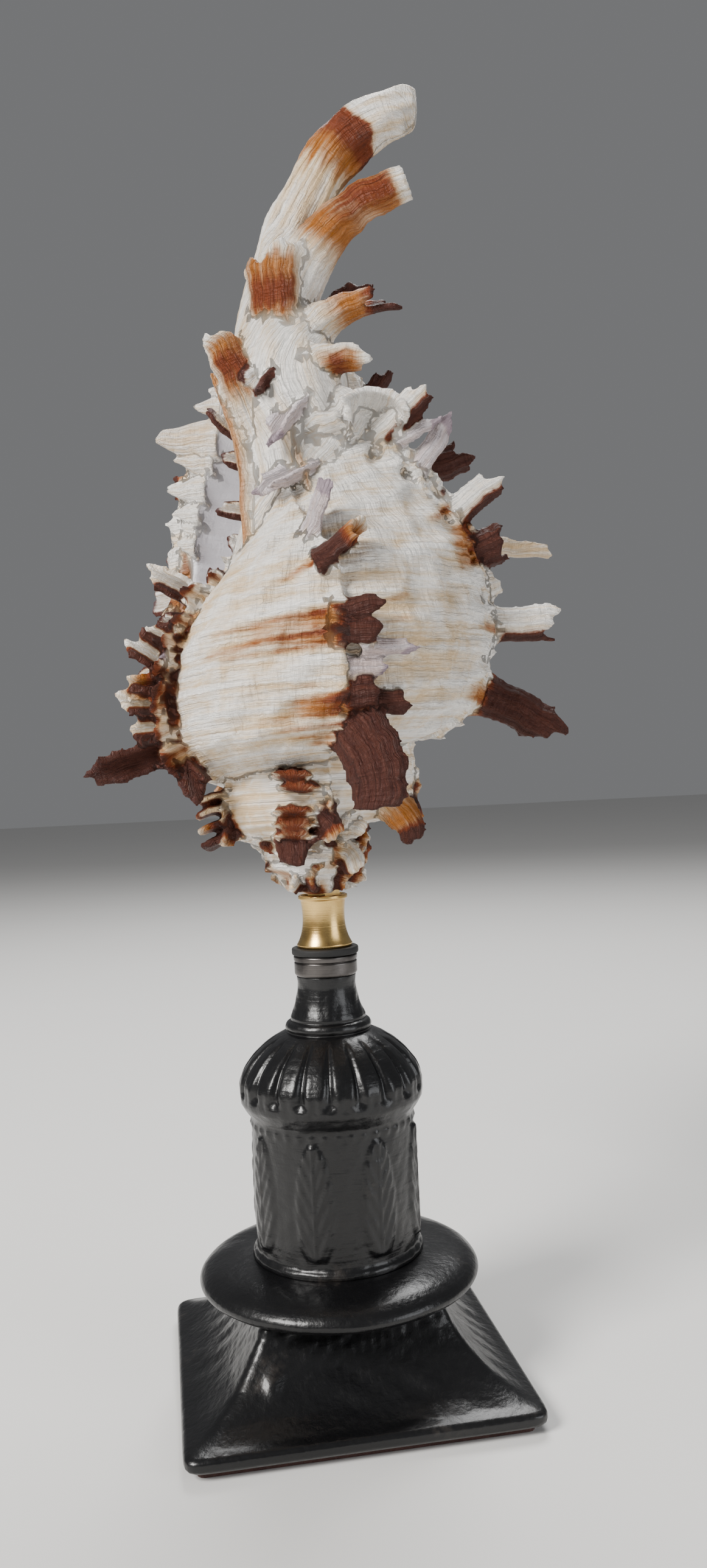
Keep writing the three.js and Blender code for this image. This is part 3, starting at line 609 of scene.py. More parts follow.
@dataclass
class MurexShell:
    """The shell: whorls, varices, fronds and canals grown together into one closed skin."""

    spiral: Spiral = field(default_factory=Spiral)
    axis_place: tuple[float, float, float] = (-3.5, 0.0, 81.4)
    lean: float = 2.3
    turn: float = -9.5
    cavity_from: float = -12.0
    early_step: float = 3.0
    late_columns: int = 560
    chamber_columns: int = 70
    whorl_rows: int = 124
    core_rows: int = 10
    frill_columns: int = 170
    trunk_grid: tuple[int, int] = (170, 56)
    gutter_step: float = 0.55
    girth_step: float = 0.5
    voxel: float = 0.46
    triangles: int = 196_000
    seat_radius: float = 4.7
    seat_top: float = 82.5

    def matrix(self) -> Matrix:
        """From the shell's own millimetres to the stand's frame, still in millimetres."""
        return (
            Matrix.Rotation(math.radians(self.turn), 4, "Z")
            @ Matrix.Translation(self.axis_place)
            @ Matrix.Rotation(math.radians(self.lean), 4, "Y")
        )

    # -- whorls --

    def relief(self, angle: Array, station: Array) -> tuple[Array, Array]:
        """The height of cords, growth lamellae and varices over the plain spiral, in mm.

        Args:
            angle: angles on the spiral.
            station: stations on the growing edge.

        Returns:
            Heights in mm before they are scaled with the whorl, and how deep in a groove each place is.
        """
        back, ahead = self.spiral.varix_gap(angle, station)
        swell = 1.7 * np.exp(-ahead / 12) - 0.6 * np.exp(-back / 8)
        near = np.exp(-ahead / 15)
        place = columns(angle / 9, station * 2.2)
        bend = 0.07 * rumple(place, 2.4, 15)
        cord = 0.5 + 0.5 * np.cos(2 * math.pi * (station + bend) / 0.62)
        minor = 0.5 + 0.5 * np.cos(2 * math.pi * ((station + bend) / 0.155 + 0.5))
        cords = (0.5 + 0.9 * near) * cord**2 + (0.16 + 0.14 * near) * minor
        wander = 2.6 * rumple(place, 1.9, 11) + 2.6 * cord + 1.1 * rumple(place * 3, 1.4, 12)
        grown = angle + wander
        tooth = np.mod(grown / 3.6 + 0.35 * np.sin(grown / 4.7), 1.0)
        large = np.mod(grown / 11.7 + 0.3 * np.sin(grown / 13.0), 1.0)
        lamellae = (0.32 + 0.6 * near) * tooth**2 + (0.55 + 0.5 * near) * large**3
        lamellae = lamellae * (0.75 + 0.5 * rumple(place * 0.7, 1.5, 13))
        low = 0.6 * rumple(place * 0.35, 1.0, 14)
        groove = 0.55 * (1 - cord) + 0.2 * (1 - minor)
        groove = groove + 0.35 * (1 - smoothstep(0.0, 0.45, tooth)) + 0.5 * bell(large, 0.12)
        return swell + cords + lamellae + low, groove

    def streaks(self, angle: Array, station: Array) -> tuple[Array, Array]:
        """The chestnut and amber that the fronds bleed back along the whorls.

        Args:
            angle: angles on the spiral.
            station: stations on the growing edge.

        Returns:
            Chestnut and amber, each from 0 to 1.
        """
        dark, amber = np.zeros_like(angle), np.zeros_like(angle)
        for varix, rows in zip(self.spiral.varices, FRONDS):
            for turn in range(SPIRE_TURNS + 1):
                for row in rows if turn == 0 else SPIRE_FRONDS:
                    if varix == self.spiral.lip_angle and turn == 0 and row.station > 3.6:
                        continue
                    gap = angle - (varix - 360 * turn - self.spiral.slant(row.station))
                    reach = np.where(gap < 0, HALO_BACK, HALO_ON)
                    beside, halo = station - row.station, HALO[row.pigment]
                    fade = np.exp(-((np.abs(gap) / reach) ** 1.3))
                    amber += halo * bell(beside, 0.1 + 0.018 * row.width) * fade
                    dark += 0.75 * halo * bell(beside, 0.14) * bell(gap, 3.2)
        for start, end, low, high, width, strength in STREAKS:
            share = np.clip((angle - start) / (end - start), 0, 1)
            line = low + (high - low) * share
            span = smoothstep(start - 2, start + 10, angle) * (1 - smoothstep(end - 1, end + 2, angle))
            amber += strength * span * bell(station - line, width)
            dark += 0.75 * strength * span * share * bell(station - line, width * 0.7)
        return np.clip(dark, 0, 1), np.clip(amber, 0, 1)

    def whorls(self, skin: Skin) -> None:
        """Grows the whorls out to the lip and folds them back into the living chamber."""
        spiral = self.spiral
        early = np.arange(spiral.first_angle, spiral.late_angle, self.early_step * coarse())
        late = np.linspace(spiral.late_angle, spiral.lip_angle, self.late_columns // coarse())
        inside = np.linspace(spiral.lip_angle, self.cavity_from, self.chamber_columns // coarse())
        angles = np.concatenate([early, late, inside])
        last, outer_rows = len(angles) - 1, self.whorl_rows // coarse()
        rows = outer_rows + self.core_rows
        verts, u, v = skin.grid(last, rows)
        column, row = np.rint(u * last).astype(int), np.rint(v * rows).astype(int)
        within, closed = column >= len(early) + len(late), row > outer_rows
        capped, outside = (column == 0) | (column == last), ~within & ~closed
        angle = angles[column]
        to_lip = spiral.lip_angle - angle
        station = np.clip(row / outer_rows, 0, 1) * spiral.last_station
        back = np.clip((row - outer_rows) / self.core_rows, 0, 1)
        # the outer face
        radius, height = spiral.edge_at(station)
        breadth = spiral.breadth(angle)
        fade = smoothstep(0.0, 0.3, station) * (1 - smoothstep(8.2, 9, station))
        lift, groove = self.relief(angle, station)
        lift = lift * fade
        flare = 2.2 * np.exp(-to_lip / 5.0) * ~within
        radius = radius * breadth + lift * 0.95 + flare * fade
        height = height + 0.25 * lift * (station - 4.2) / 4
        core = curve_through(np.array(spiral.core, float), back) * columns(breadth, 1.0)
        # the chamber, which narrows to a point far inside
        middle = np.array(spiral.middle)
        depth = smoothstep(0, 1, to_lip / (spiral.lip_angle - self.cavity_from))
        shrink = (1 - 0.9 * depth**6)[:, None]
        chamber = curve_through(np.array(spiral.inner_edge, float), station / spiral.last_station)
        chamber = middle + (chamber - middle) * shrink
        ribs = 0.35 * np.cos(2 * math.pi * station / 0.5) * np.exp(-to_lip / 7.0)
        inner_core = middle + (curve_through(np.array(spiral.inner_core, float), back) - middle) * shrink
        core = np.where(within[:, None], inner_core, core)
        radius = np.where(within, chamber[:, 0] - ribs, radius)
        height = np.where(within, chamber[:, 1], height)
        radius = np.where(capped, middle[0], np.where(closed, core[:, 0], radius))
        height = np.where(capped, middle[1], np.where(closed, core[:, 1], height))
        dark, amber = self.streaks(angle, station)
        along, across = spiral.grain(angle, station)
        tags = tagged(
            len(verts), chestnut=np.where(outside, dark, 0), amber=np.where(outside, amber, 0), pearl=within,
            along=along, across=across, groove=np.where(outside, groove, 0.2),
        )
        skin.settle(verts, spiral.place(angle, radius, height), tags)

    # -- varices --

    def frame_on(self, angle: float, station: float) -> tuple[Array, Array, Array]:
        """A point of the whorl with its outward and forward directions."""
        radius, height = self.spiral.edge_at(station)
        root = self.spiral.place(np.array([angle]), radius, height)[0]
        turn = math.radians(angle)
        return root, outward_at(turn), np.array([-math.sin(turn), math.cos(turn), 0.0])

    def frill(
        self, skin: Skin, varix: float, rows: tuple[Frond, ...], lag: float,
        web: tuple[float, float, float], seed: int,
    ) -> None:
        """A crimped curtain along a varix, tallest where its fronds stand.

        Args:
            skin: where it is gathered.
            varix: the varix's angle.
            rows: the fronds on it.
            lag: degrees behind the varix.
            web: how far it reaches up the fronds, how brown its edge is, its plain height in mm.
            seed: which crimping.
        """
        spiral, loops = self.spiral, 9
        verts, u, v = skin.grid(self.frill_columns // coarse(), loops)
        station = 0.5 + 8.0 * u
        angle = varix - lag - spiral.slant(station)
        size = spiral.size(angle)
        radius, height = spiral.edge_at(station)
        line = columns(station, seed * 3.1)
        reach, brown, tall = web
        tallness = tall * (0.75 + 0.45 * rumple(line, 0.7, seed) + 0.3 * rumple(line, 0.22, seed + 1))
        for row in rows:
            tallness = tallness + reach * row.length * bell(station - row.station, 0.12 + 0.022 * row.width)
        low = smoothstep(0.4, 2.2, tallness)
        tallness = np.clip(tallness, 0.4, 7.0)
        tallness = tallness * smoothstep(0.5, 1.3, station) * (1 - smoothstep(7.6, 8.5, station))
        # up one side, down the other and round below
        loop, held = v * loops, (u > 0.001) & (u < 0.999)
        out = np.where(loop <= 4, loop / 4, np.where(loop <= 8, 1 - (loop - 5) / 3.2, 0))
        out = np.clip(out, -0.3, 1) * held
        full = np.clip(out, 0, 1)
        side = np.where((loop <= 4) | (loop > 8), 1.0, -1.0)
        wave = np.cos(2 * math.pi * station / 0.5 + seed)
        crimp = low * (0.75 * wave + 0.55 * rumple(line, 0.18, seed + 2))
        forward = (0.55 * tallness * full**1.6 + crimp * full + side * (0.62 - 0.2 * full) * held) * size
        rise = (tallness * out - 1.2 * (out < 0)) * size + (1.6 * size)
        lean, turn = (station - 4.2) / 5.5, np.radians(angle)
        radial = columns(np.cos(turn) * np.cos(lean), np.sin(turn) * np.cos(lean), np.sin(lean))
        tangent = columns(-np.sin(turn), np.cos(turn), 0.0)
        base = spiral.place(angle, radius * spiral.breadth(angle), height)
        dark, amber = self.streaks(angle, station)
        edge = smoothstep(0.62, 0.95, out) * (0.75 + 0.5 * rumple(line, 0.3, seed + 3)) * brown
        along, across = spiral.grain(angle, station)
        tags = tagged(
            len(verts), chestnut=np.clip(dark * 1.1 * (0.4 + 0.6 * full) + edge, 0, 1),
            amber=np.clip(amber + edge, 0, 1), lilac=0.25 * (side < 0) * full,
            along=along + forward * 2, across=across, groove=0.5 - 0.5 * wave,
        )
        skin.settle(verts, base + radial * rise[:, None] + tangent * forward[:, None], tags)

    # -- fronds and canals --

    def gutter(
        self, skin: Skin, centre: Array, half_width: Array, half_depth: Array, open_to: Array,
        wrap: float, pigment: Pigment, ragged: float, seed: int, wall: float = 0.95,
    ) -> None:
        """A folded sheet along a centreline, with a wall, ribs and a ragged end.

        Args:
            skin: where it is gathered.
            centre: K by 3 control points of the centreline.
            half_width: half the width at each.
            half_depth: half the depth at each.
            open_to: the side on which the fold is open.
            wrap: how many degrees the fold goes round.
            pigment: how it is coloured.
            ragged: the depth of the notches in its end, as a share of its length.
            seed: which notches and bends.
            wall: the wall's thickness in mm.
        """
        length = float(np.linalg.norm(np.diff(centre, axis=0), axis=1).sum())
        half_wrap, mean_half = math.radians(wrap / 2), float(half_width.mean())
        steps = int(np.clip(length / (self.gutter_step * coarse()), 6, 60))
        half = int(np.clip(math.radians(wrap) * mean_half / (self.girth_step * coarse()), 6, 40))
        loop = 2 * half + 2
        verts, u, v = skin.grid(steps, loop)
        j = np.rint(v * loop).astype(int) % loop
        outer = j <= half
        swing = np.where(outer, j / half, 1 - (j - half - 1) / half) * 2 - 1
        edge = np.abs(swing) ** 3
        # the notches of its end and the scallops of its margins
        draw = np.random.default_rng(seed)
        fingers = draw.uniform(2.2, 4.0)
        phase = draw.uniform(0, math.pi)
        notch = 0.55 * np.sin(fingers * swing + phase) + 0.3 * np.sin(8.3 * swing + 2 * phase)
        along = u * (1 - ragged * (0.75 - notch) * u**2)
        scallop = 0.5 + 0.5 * np.sin(along * length / draw.uniform(2.2, 3.2) * 2 * math.pi / 1.3 + 3 * phase)
        turn = swing * half_wrap * (1 + 0.12 * (scallop - 0.5) * (along > 0.25))
        flaring = (0.3 if wrap < 260 else 0.05) * edge * smoothstep(0.4, 1.0, along) * (0.6 + 0.6 * scallop)
        # its centreline and the two directions across it
        tangent = heading_on(centre, along, 0.02)
        facing = unit(open_to[None, :] - tangent * (tangent @ open_to)[:, None])
        across = np.cross(facing, tangent)
        wide = curve_through(half_width[:, None], along)[:, 0]
        deep = curve_through(half_depth[:, None], along)[:, 0]
        # the ribs outside and the wall's thickness inside
        rib_gap, lamella_gap = 1.9, 1.7
        rib = 0.5 + 0.5 * np.cos(swing * half_wrap * wide.mean() * 2 * math.pi / rib_gap)
        sway = rumple(columns(swing * 2, 0.0), 1, seed)
        lamella = np.mod(along * length / lamella_gap + 0.6 * edge + 0.5 * sway, 1)
        raised = RIB_HEIGHT.get(pigment, 1.0) * min(1.0, mean_half / 2) * (0.5 * rib + 0.3 * lamella**2)
        ends = np.where((u > 0.999) | (u < 0.001), 0.02, 1)
        thickness = wall * (1.25 - 0.55 * along) * ends * (1 - 0.3 * edge)
        inset = np.where(outer, -raised * (u > 0.001), thickness)
        places = (
            curve_through(centre, along)
            + across * ((wide - inset) * np.sin(turn) * (1 + flaring))[:, None]
            - facing * ((deep - inset) * np.cos(turn) - 0.35 * deep * edge)[:, None]
        )
        wobble = columns(*(rumple(columns(along * length, float(k)), 7.0, seed + k) for k in range(3)))
        places = places + 0.32 * wobble * (along * min(1.0, length / 8))[:, None]
        dark, amber, lilac = pigment_on(pigment, along, -swing, (1.0 if wrap > 185 else 0.35) * ~outer)
        tags = tagged(
            len(verts), chestnut=np.clip(dark * (0.85 + 0.3 * rib), 0, 1), amber=amber, lilac=lilac,
            along=along * length, across=swing * wide * half_wrap * 1.3,
            groove=0.7 * (1 - rib) + 0.3 * (lamella < 0.3),
        )
        skin.settle(verts, places, tags)

    def frond(self, skin: Skin, varix: float, row: Frond, scale: float, seed: int) -> None:
        """One frond, rooted on the spiral at a varix.

        Args:
            skin: where it is gathered.
            varix: the varix's angle.
            row: the frond.
            scale: its size against a frond on the last whorl.
            seed: which notches and bends.
        """
        angle = varix - float(self.spiral.slant(row.station)) + row.ahead
        root, outward, forward = self.frame_on(angle, row.station)
        if scale != 1:
            root = root + outward * (np.linalg.norm(root[:2]) * (float(self.spiral.breadth(angle)) - 1))
        sweep = math.radians(row.sweep)

        def heading(share: float) -> Array:
            """The frond's direction at a share of its length."""
            climb = math.radians(row.rise + row.curl * share)
            up = outward * math.cos(climb) + np.array([0, 0, math.sin(climb)])
            return up * math.cos(sweep) + forward * math.sin(sweep)

        length, sunk, steps = row.length * scale, 2.4 * scale, 6
        centre = [root + outward * 1.2 * scale - heading(0) * sunk]
        for i in range(1, steps + 1):
            centre.append(centre[-1] + heading(i / steps) * (length + sunk - 1.2 * scale) / steps)
        share = np.linspace(0, 1, steps + 1)
        half = row.width * scale / 2 * (1.5 - 0.5 * smoothstep(0, 0.3, share)) * (1 + (row.flare - 1) * share)
        across = np.cross(forward, heading(0))
        spun = Matrix.Rotation(math.radians(row.twist), 3, Vector(heading(0))) @ Vector(across)
        open_to = np.cross(heading(0), np.array(spun))
        if open_to @ forward < 0:
            open_to = -open_to
        self.gutter(
            skin, np.array(centre), half, half * 0.62, open_to, row.wrap, row.pigment, 0.17, seed,
            0.95 * scale**0.4,
        )

    def trunk(self, skin: Skin) -> None:
        """The siphonal canal, from the columella to its recurved tip."""
        rings = np.array(TRUNK, float)
        verts, u, v = skin.grid(*(count // coarse() for count in self.trunk_grid))
        tangent = heading_on(rings[:, :3], u, 0.01)
        across = unit(np.cross(np.broadcast_to(np.array([0.0, 1.0, 0.0]), tangent.shape), tangent))
        through = np.cross(tangent, across)
        wide, deep = curve_through(rings[:, 3:4], u)[:, 0], curve_through(rings[:, 4:5], u)[:, 0]
        turn = v * 2 * math.pi
        closing = np.sqrt(np.clip(1 - np.clip((u - 0.975) / 0.025, 0, 1) ** 2, 0.0, 1)) * (u > 0.001)
        ridges = 0.16 * np.mod(u * 40 + 0.5 * rumple(columns(np.cos(turn), np.sin(turn), u * 2), 2.4, 5), 1)
        wave = np.cos(turn * 11 + 2 * u)
        swell = 0.5 * rumple(columns(np.cos(turn), np.sin(turn), u * 6), 1.1, 6)
        seam = -1.1 * bell(np.angle(np.exp(1j * (turn - 2.2 - 0.8 * u))), 0.16) * smoothstep(0.4, 0.55, u)
        grow = (1 + (ridges + 0.18 * wave + swell + seam) / np.maximum(wide, 1)) * closing
        places = (
            curve_through(rings[:, :3], u)
            + across * (wide * grow * np.cos(turn))[:, None]
            + through * (deep * grow * np.sin(turn))[:, None]
        )
        # brown below the tip, which stays white
        below = 1 - smoothstep(0.775, 0.795, u + 0.012 * np.cos(3 * turn))
        amber = smoothstep(0.62, 0.7, u + 0.02 * np.cos(turn * 9)) * below * 1.1
        tags = tagged(
            len(verts), chestnut=0.62 * smoothstep(0.68, 0.76, u) * below, amber=np.clip(amber, 0, 1),
            along=u * 105, across=turn * wide, groove=0.4 + 0.4 * wave + 0.4 * bell(u - 0.62, 0.1),
        )
        skin.settle(verts, places, tags)

    def apex(self, skin: Skin) -> None:
        """The worn apex that closes round the brass, with its last small scales."""
        verts, u, v = skin.grid(60, 72)
        turn = u * 2 * math.pi
        reach, level = curve_through(np.array(APEX, float), v).T
        reach = reach * (1 + 0.1 * rumple(columns(np.cos(turn), np.sin(turn), level / 4), 0.9, 21))
        patch = rumple(columns(np.cos(turn) * 2, np.sin(turn) * 2, level / 3), 1.3, 22)
        tags = tagged(
            len(verts), chestnut=0.8 * smoothstep(0.25, 0.8, patch), amber=smoothstep(-0.1, 0.5, patch),
            along=turn * 8, across=level,
        )
        skin.settle(verts, columns(APEX_OFF + reach * np.cos(turn), reach * np.sin(turn), level), tags)
        draw = np.random.default_rng(31)
        kinds = (R, W, D, E, W, R, C)
        for i in range(30):
            angle = draw.uniform(0, 2 * math.pi)
            level = draw.uniform(3.4, 13)
            outward = outward_at(angle)
            root = np.array([APEX_OFF, 0, level]) + outward * (3.6 + 0.45 * level)
            direction = outward * 0.85 + np.array([0, 0, draw.uniform(-0.9, 0.1)])
            direction /= np.linalg.norm(direction)
            length = draw.uniform(2.0, 4.4)
            middle, tip = root + direction * length * 0.4, root + direction * length
            centre = np.array([root - direction * 1.5, middle, tip])
            half = np.array([1.9, 1.5, 1.2]) * draw.uniform(0.8, 1.4)
            open_to = np.array([-outward[1], outward[0], 0.2])
            self.gutter(
                skin, centre, half, half * 0.5, open_to, 170, kinds[i % len(kinds)], 0.3,
                Seed.APEX_SCALE + 5 * i, 0.75,
            )

    def scales(self, skin: Skin) -> None:
        """Small spines between the fronds of each varix, except the front one."""
        draw = np.random.default_rng(17)
        kinds, count = (W, L, W, E, W, T), 11
        for index, varix in enumerate(self.spiral.varices):
            if index == FRONT_VARIX:
                continue
            for i in range(count):
                station = 1.9 + 5.6 * (i + draw.uniform(0.1, 0.9)) / count
                row = Frond(
                    station, draw.uniform(3.0, 5.6), draw.uniform(2.0, 3.0),
                    draw.uniform(0, 18) + 7 * (station - 2), draw.uniform(-10, 10), draw.uniform(20, 60), 0,
                    kinds[int(draw.integers(len(kinds)))], 0.35, 180,
                )
                self.frond(skin, varix - draw.uniform(1, 6), row, 1, Seed.SMALL_SCALE + 37 * index + 5 * i)

    def inner_lip(self, skin: Skin) -> None:
        """Small scales on the free edge of the inner lip."""
        outward, half = outward_at(math.radians(196)), np.array([2.2, 1.7, 1.2])
        for i, (height, length, rise) in enumerate(LIP_SCALES):
            bends = ((7.4, 0), (9.6 + 0.4 * length, 0.3 * rise), (9.6 + length, rise))
            centre = np.array([outward * reach + np.array([0, 0, height + lift]) for reach, lift in bends])
            open_to = np.array([0.3, -0.8, 0.6])
            self.gutter(skin, centre, half, half * 0.6, open_to, 190, D, 0.25, Seed.LIP_SCALE + i)

    def varix(self, skin: Skin, index: int) -> None:
        """The webs and fronds of one varix, on the last whorl and on those before it.

        Args:
            skin: where they are gathered.
            index: which varix.
        """
        start, rows, (reach, brown, tall) = self.spiral.varices[index], FRONDS[index], WEBS[index]
        for lag, share in WEB_FOLDS:
            if tall > LEAST_WEB:
                web = (reach * share, brown * share, tall * share)
                self.frill(skin, start, rows, lag, web, Seed.FRILL + 10 * index + int(lag))
        for i, row in enumerate(rows):
            self.frond(skin, start, row, 1.0, Seed.FROND + 20 * index + i)
        for turn in range(1, SPIRE_TURNS + 1):
            angle = start - 360 * turn
            scale, seed = float(self.spiral.size(angle)), Seed.SPIRE_FROND + 20 * index + 5 * turn
            self.frill(skin, angle, SPIRE_FRONDS, 0.0, SPIRE_WEB, Seed.SPIRE_FRILL + 10 * index + turn)
            self.frill(skin, angle, SPIRE_FRONDS, 9.0, SPIRE_FOLD_WEB, Seed.SPIRE_FOLD + 10 * index + turn)
            for i, row in enumerate(SPIRE_FRONDS if turn == 1 else SPIRE_FRONDS[:1]):
                self.frond(skin, angle, row, scale, seed + i)

    def grown(self) -> Skin:
        """All the shell's surfaces, still separate, in mm from the apex."""
        skin = Skin()
        self.whorls(skin)
        log.info("whorls grown")
        self.trunk(skin)
        self.apex(skin)
        self.inner_lip(skin)
        for index in range(len(self.spiral.varices)):
            self.varix(skin, index)
        self.scales(skin)
        for i, horn in enumerate(HORNS):
            rings = np.array(horn.rings, float)
            self.gutter(
                skin, rings[:, :3], rings[:, 3], rings[:, 4], np.array(horn.open_to, float),
                horn.wrap, horn.pigment, horn.ragged, Seed.HORN + i, 1.1,
            )
        log.info("fronds grown: %d surfaces", len(skin.points))
        return skin

    def fused(self, skin: Skin) -> bpy.types.Object:
        """One closed surface round all of them, at about the wanted number of triangles.

        Args:
            skin: the gathered surfaces.

        Returns:
            A new object, in mm from the apex.
        """
        mesh = bpy.data.meshes.new("murex_shell")
        bmesh.ops.remove_doubles(skin.bm, verts=skin.bm.verts, dist=1e-4)
        skin.bm.to_mesh(mesh)
        skin.bm.free()
        rough = bpy.data.objects.new("murex_growth", mesh)
        bpy.context.scene.collection.objects.link(rough)
        remesh = rough.modifiers.new("fuse", "REMESH")
        remesh.mode = "VOXEL"
        remesh.voxel_size = self.voxel * coarse()
        smooth = rough.modifiers.new("soften", "SMOOTH")
        smooth.factor, smooth.iterations = 0.5, 3
        fused = bpy.data.meshes.new_from_object(rough.evaluated_get(bpy.context.evaluated_depsgraph_get()))
        rough.modifiers.clear()
        rough.data = fused
        log.info("fused: %d faces", len(fused.polygons))
        count = sum(len(p.vertices) - 2 for p in fused.polygons)
        thin = rough.modifiers.new("thin", "DECIMATE")
        thin.ratio = min(1.0, self.triangles / count)
        done = bpy.data.meshes.new_from_object(rough.evaluated_get(bpy.context.evaluated_depsgraph_get()))
        bpy.data.objects.remove(rough)
        return bpy.data.objects.new("murex_shell_skin", done)

    def clear_bore(self, mesh: bpy.types.Mesh) -> None:
        """Draws the apex back from the brass rim and the rod's bore, in the stand's mm."""
        for vert in mesh.vertices:
            reach = math.hypot(vert.co.x, vert.co.y)
            low = self.seat_top + 0.22 * max(0.0, reach - 3.6)
            if vert.co.z < low and reach < self.seat_radius + 2.2:
                vert.co.z = low

    def stained(self, mesh: bpy.types.Mesh, skin: Skin) -> None:
        """Copies stains and grain to the fused surface from the nearest grown points.

        Args:
            mesh: the fused surface, in mm from the apex.
            skin: the gathered surfaces.
        """
        points = np.concatenate(skin.points)
        tags = np.concatenate(skin.tags)
        source = np.repeat(np.arange(len(skin.points)), [len(p) for p in skin.points])
        tree = KDTree(len(points))
        for i, point in enumerate(points):
            tree.insert(point, i)
        tree.balance()
        found = np.zeros((len(mesh.vertices), len(TAGS)))
        for i, vert in enumerate(mesh.vertices):
            near = tree.find_n(vert.co, 4)
            first = source[near[0][1]]
            kept = [(index, 1 / (distance + 0.05)) for _, index, distance in near if source[index] == first]
            total = sum(weight for _, weight in kept)
            found[i] = sum(tags[index] * weight for index, weight in kept) / total
        edges = np.zeros(len(mesh.edges) * 2, int)
        mesh.edges.foreach_get("vertices", edges)
        a, b = edges.reshape(-1, 2).T
        degree = np.bincount(edges, minlength=len(found)).astype(float)[:, None]
        for _ in range(2):
            total = np.zeros((len(found), STAINS))
            np.add.at(total, a, found[b, :STAINS])
            np.add.at(total, b, found[a, :STAINS])
            found[:, :STAINS] = 0.5 * found[:, :STAINS] + 0.5 * total / degree
        stain = mesh.attributes.new("stain", "FLOAT_COLOR", "POINT")
        stain.data.foreach_set("color", np.clip(found[:, :STAINS], 0, 1).astype(np.float32).ravel())
        grain = mesh.attributes.new("grain", "FLOAT_VECTOR", "POINT")
        grain.data.foreach_set("vector", found[:, STAINS:].astype(np.float32).ravel())

    def build(self) -> bpy.types.Object:
        """Grows, fuses, stains and places the shell, and hands it to the frame."""
        skin = self.grown()
        shell = self.fused(skin)
        mesh = shell.data
        log.info("thinned: %d faces", len(mesh.polygons))
        self.stained(mesh, skin)
        mesh.transform(self.matrix())
        self.clear_bore(mesh)
        mesh.transform(Matrix.Scale(MM, 4))
        mesh.polygons.foreach_set("use_smooth", [True] * len(mesh.polygons))
        mesh.materials.append(ShellFinish().material())
        bpy.context.scene.collection.objects.link(shell)
        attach(shell, "root")
        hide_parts("murex_shell")
        return shell


# ---- Finishes -----------------------------------------------------------------------------

# the Mix node's factor and two colours among its inputs, and the colour among its outputs
MIX_INPUTS, MIX_COLOUR = (0, 6, 7), 2


@dataclass(frozen=True)
class Wire:
    """A socket's value in an expression, which adds Math nodes as it is worked out."""

    tree: bpy.types.NodeTree
    socket: bpy.types.NodeSocket

    def _math(self, operation: str, *values: "Wire | float") -> "Wire":
        """One Math node on these values."""
        node = self.tree.nodes.new("ShaderNodeMath")
        node.operation = operation
        for slot, value in zip(node.inputs, values):
            plug(self.tree, slot, value)
        return Wire(self.tree, node.outputs[0])

    def __add__(self, other: "Wire | float") -> "Wire":
        """This plus another value."""
        return self._math("ADD", self, other)

    def __radd__(self, other: float) -> "Wire":
        """A number plus this."""
        return self._math("ADD", other, self)

    def __sub__(self, other: "Wire | float") -> "Wire":
        """This less another value."""
        return self._math("SUBTRACT", self, other)

    def __rsub__(self, other: float) -> "Wire":
        """A number less this."""
        return self._math("SUBTRACT", other, self)

    def __mul__(self, other: "Wire | float") -> "Wire":
        """This times another value."""
        return self._math("MULTIPLY", self, other)

    def __rmul__(self, other: float) -> "Wire":
        """A number times this."""
        return self._math("MULTIPLY", other, self)

    def step(self, low: float, high: float) -> "Wire":
        """A smooth step of this, from 0 at low to 1 at high."""
        node = self.tree.nodes.new("ShaderNodeMapRange")
        node.interpolation_type = "SMOOTHSTEP"
        self.tree.links.new(self.socket, node.inputs["Value"])
        node.inputs["From Min"].default_value = low
        node.inputs["From Max"].default_value = high
        return Wire(self.tree, node.outputs["Result"])


def plug(tree: bpy.types.NodeTree, slot: bpy.types.NodeSocket, value: object) -> None:
    """Links a wire to a socket, or sets the socket to a plain value."""
    if isinstance(value, Wire):
        tree.links.new(value.socket, slot)
    else:
        slot.default_value = value


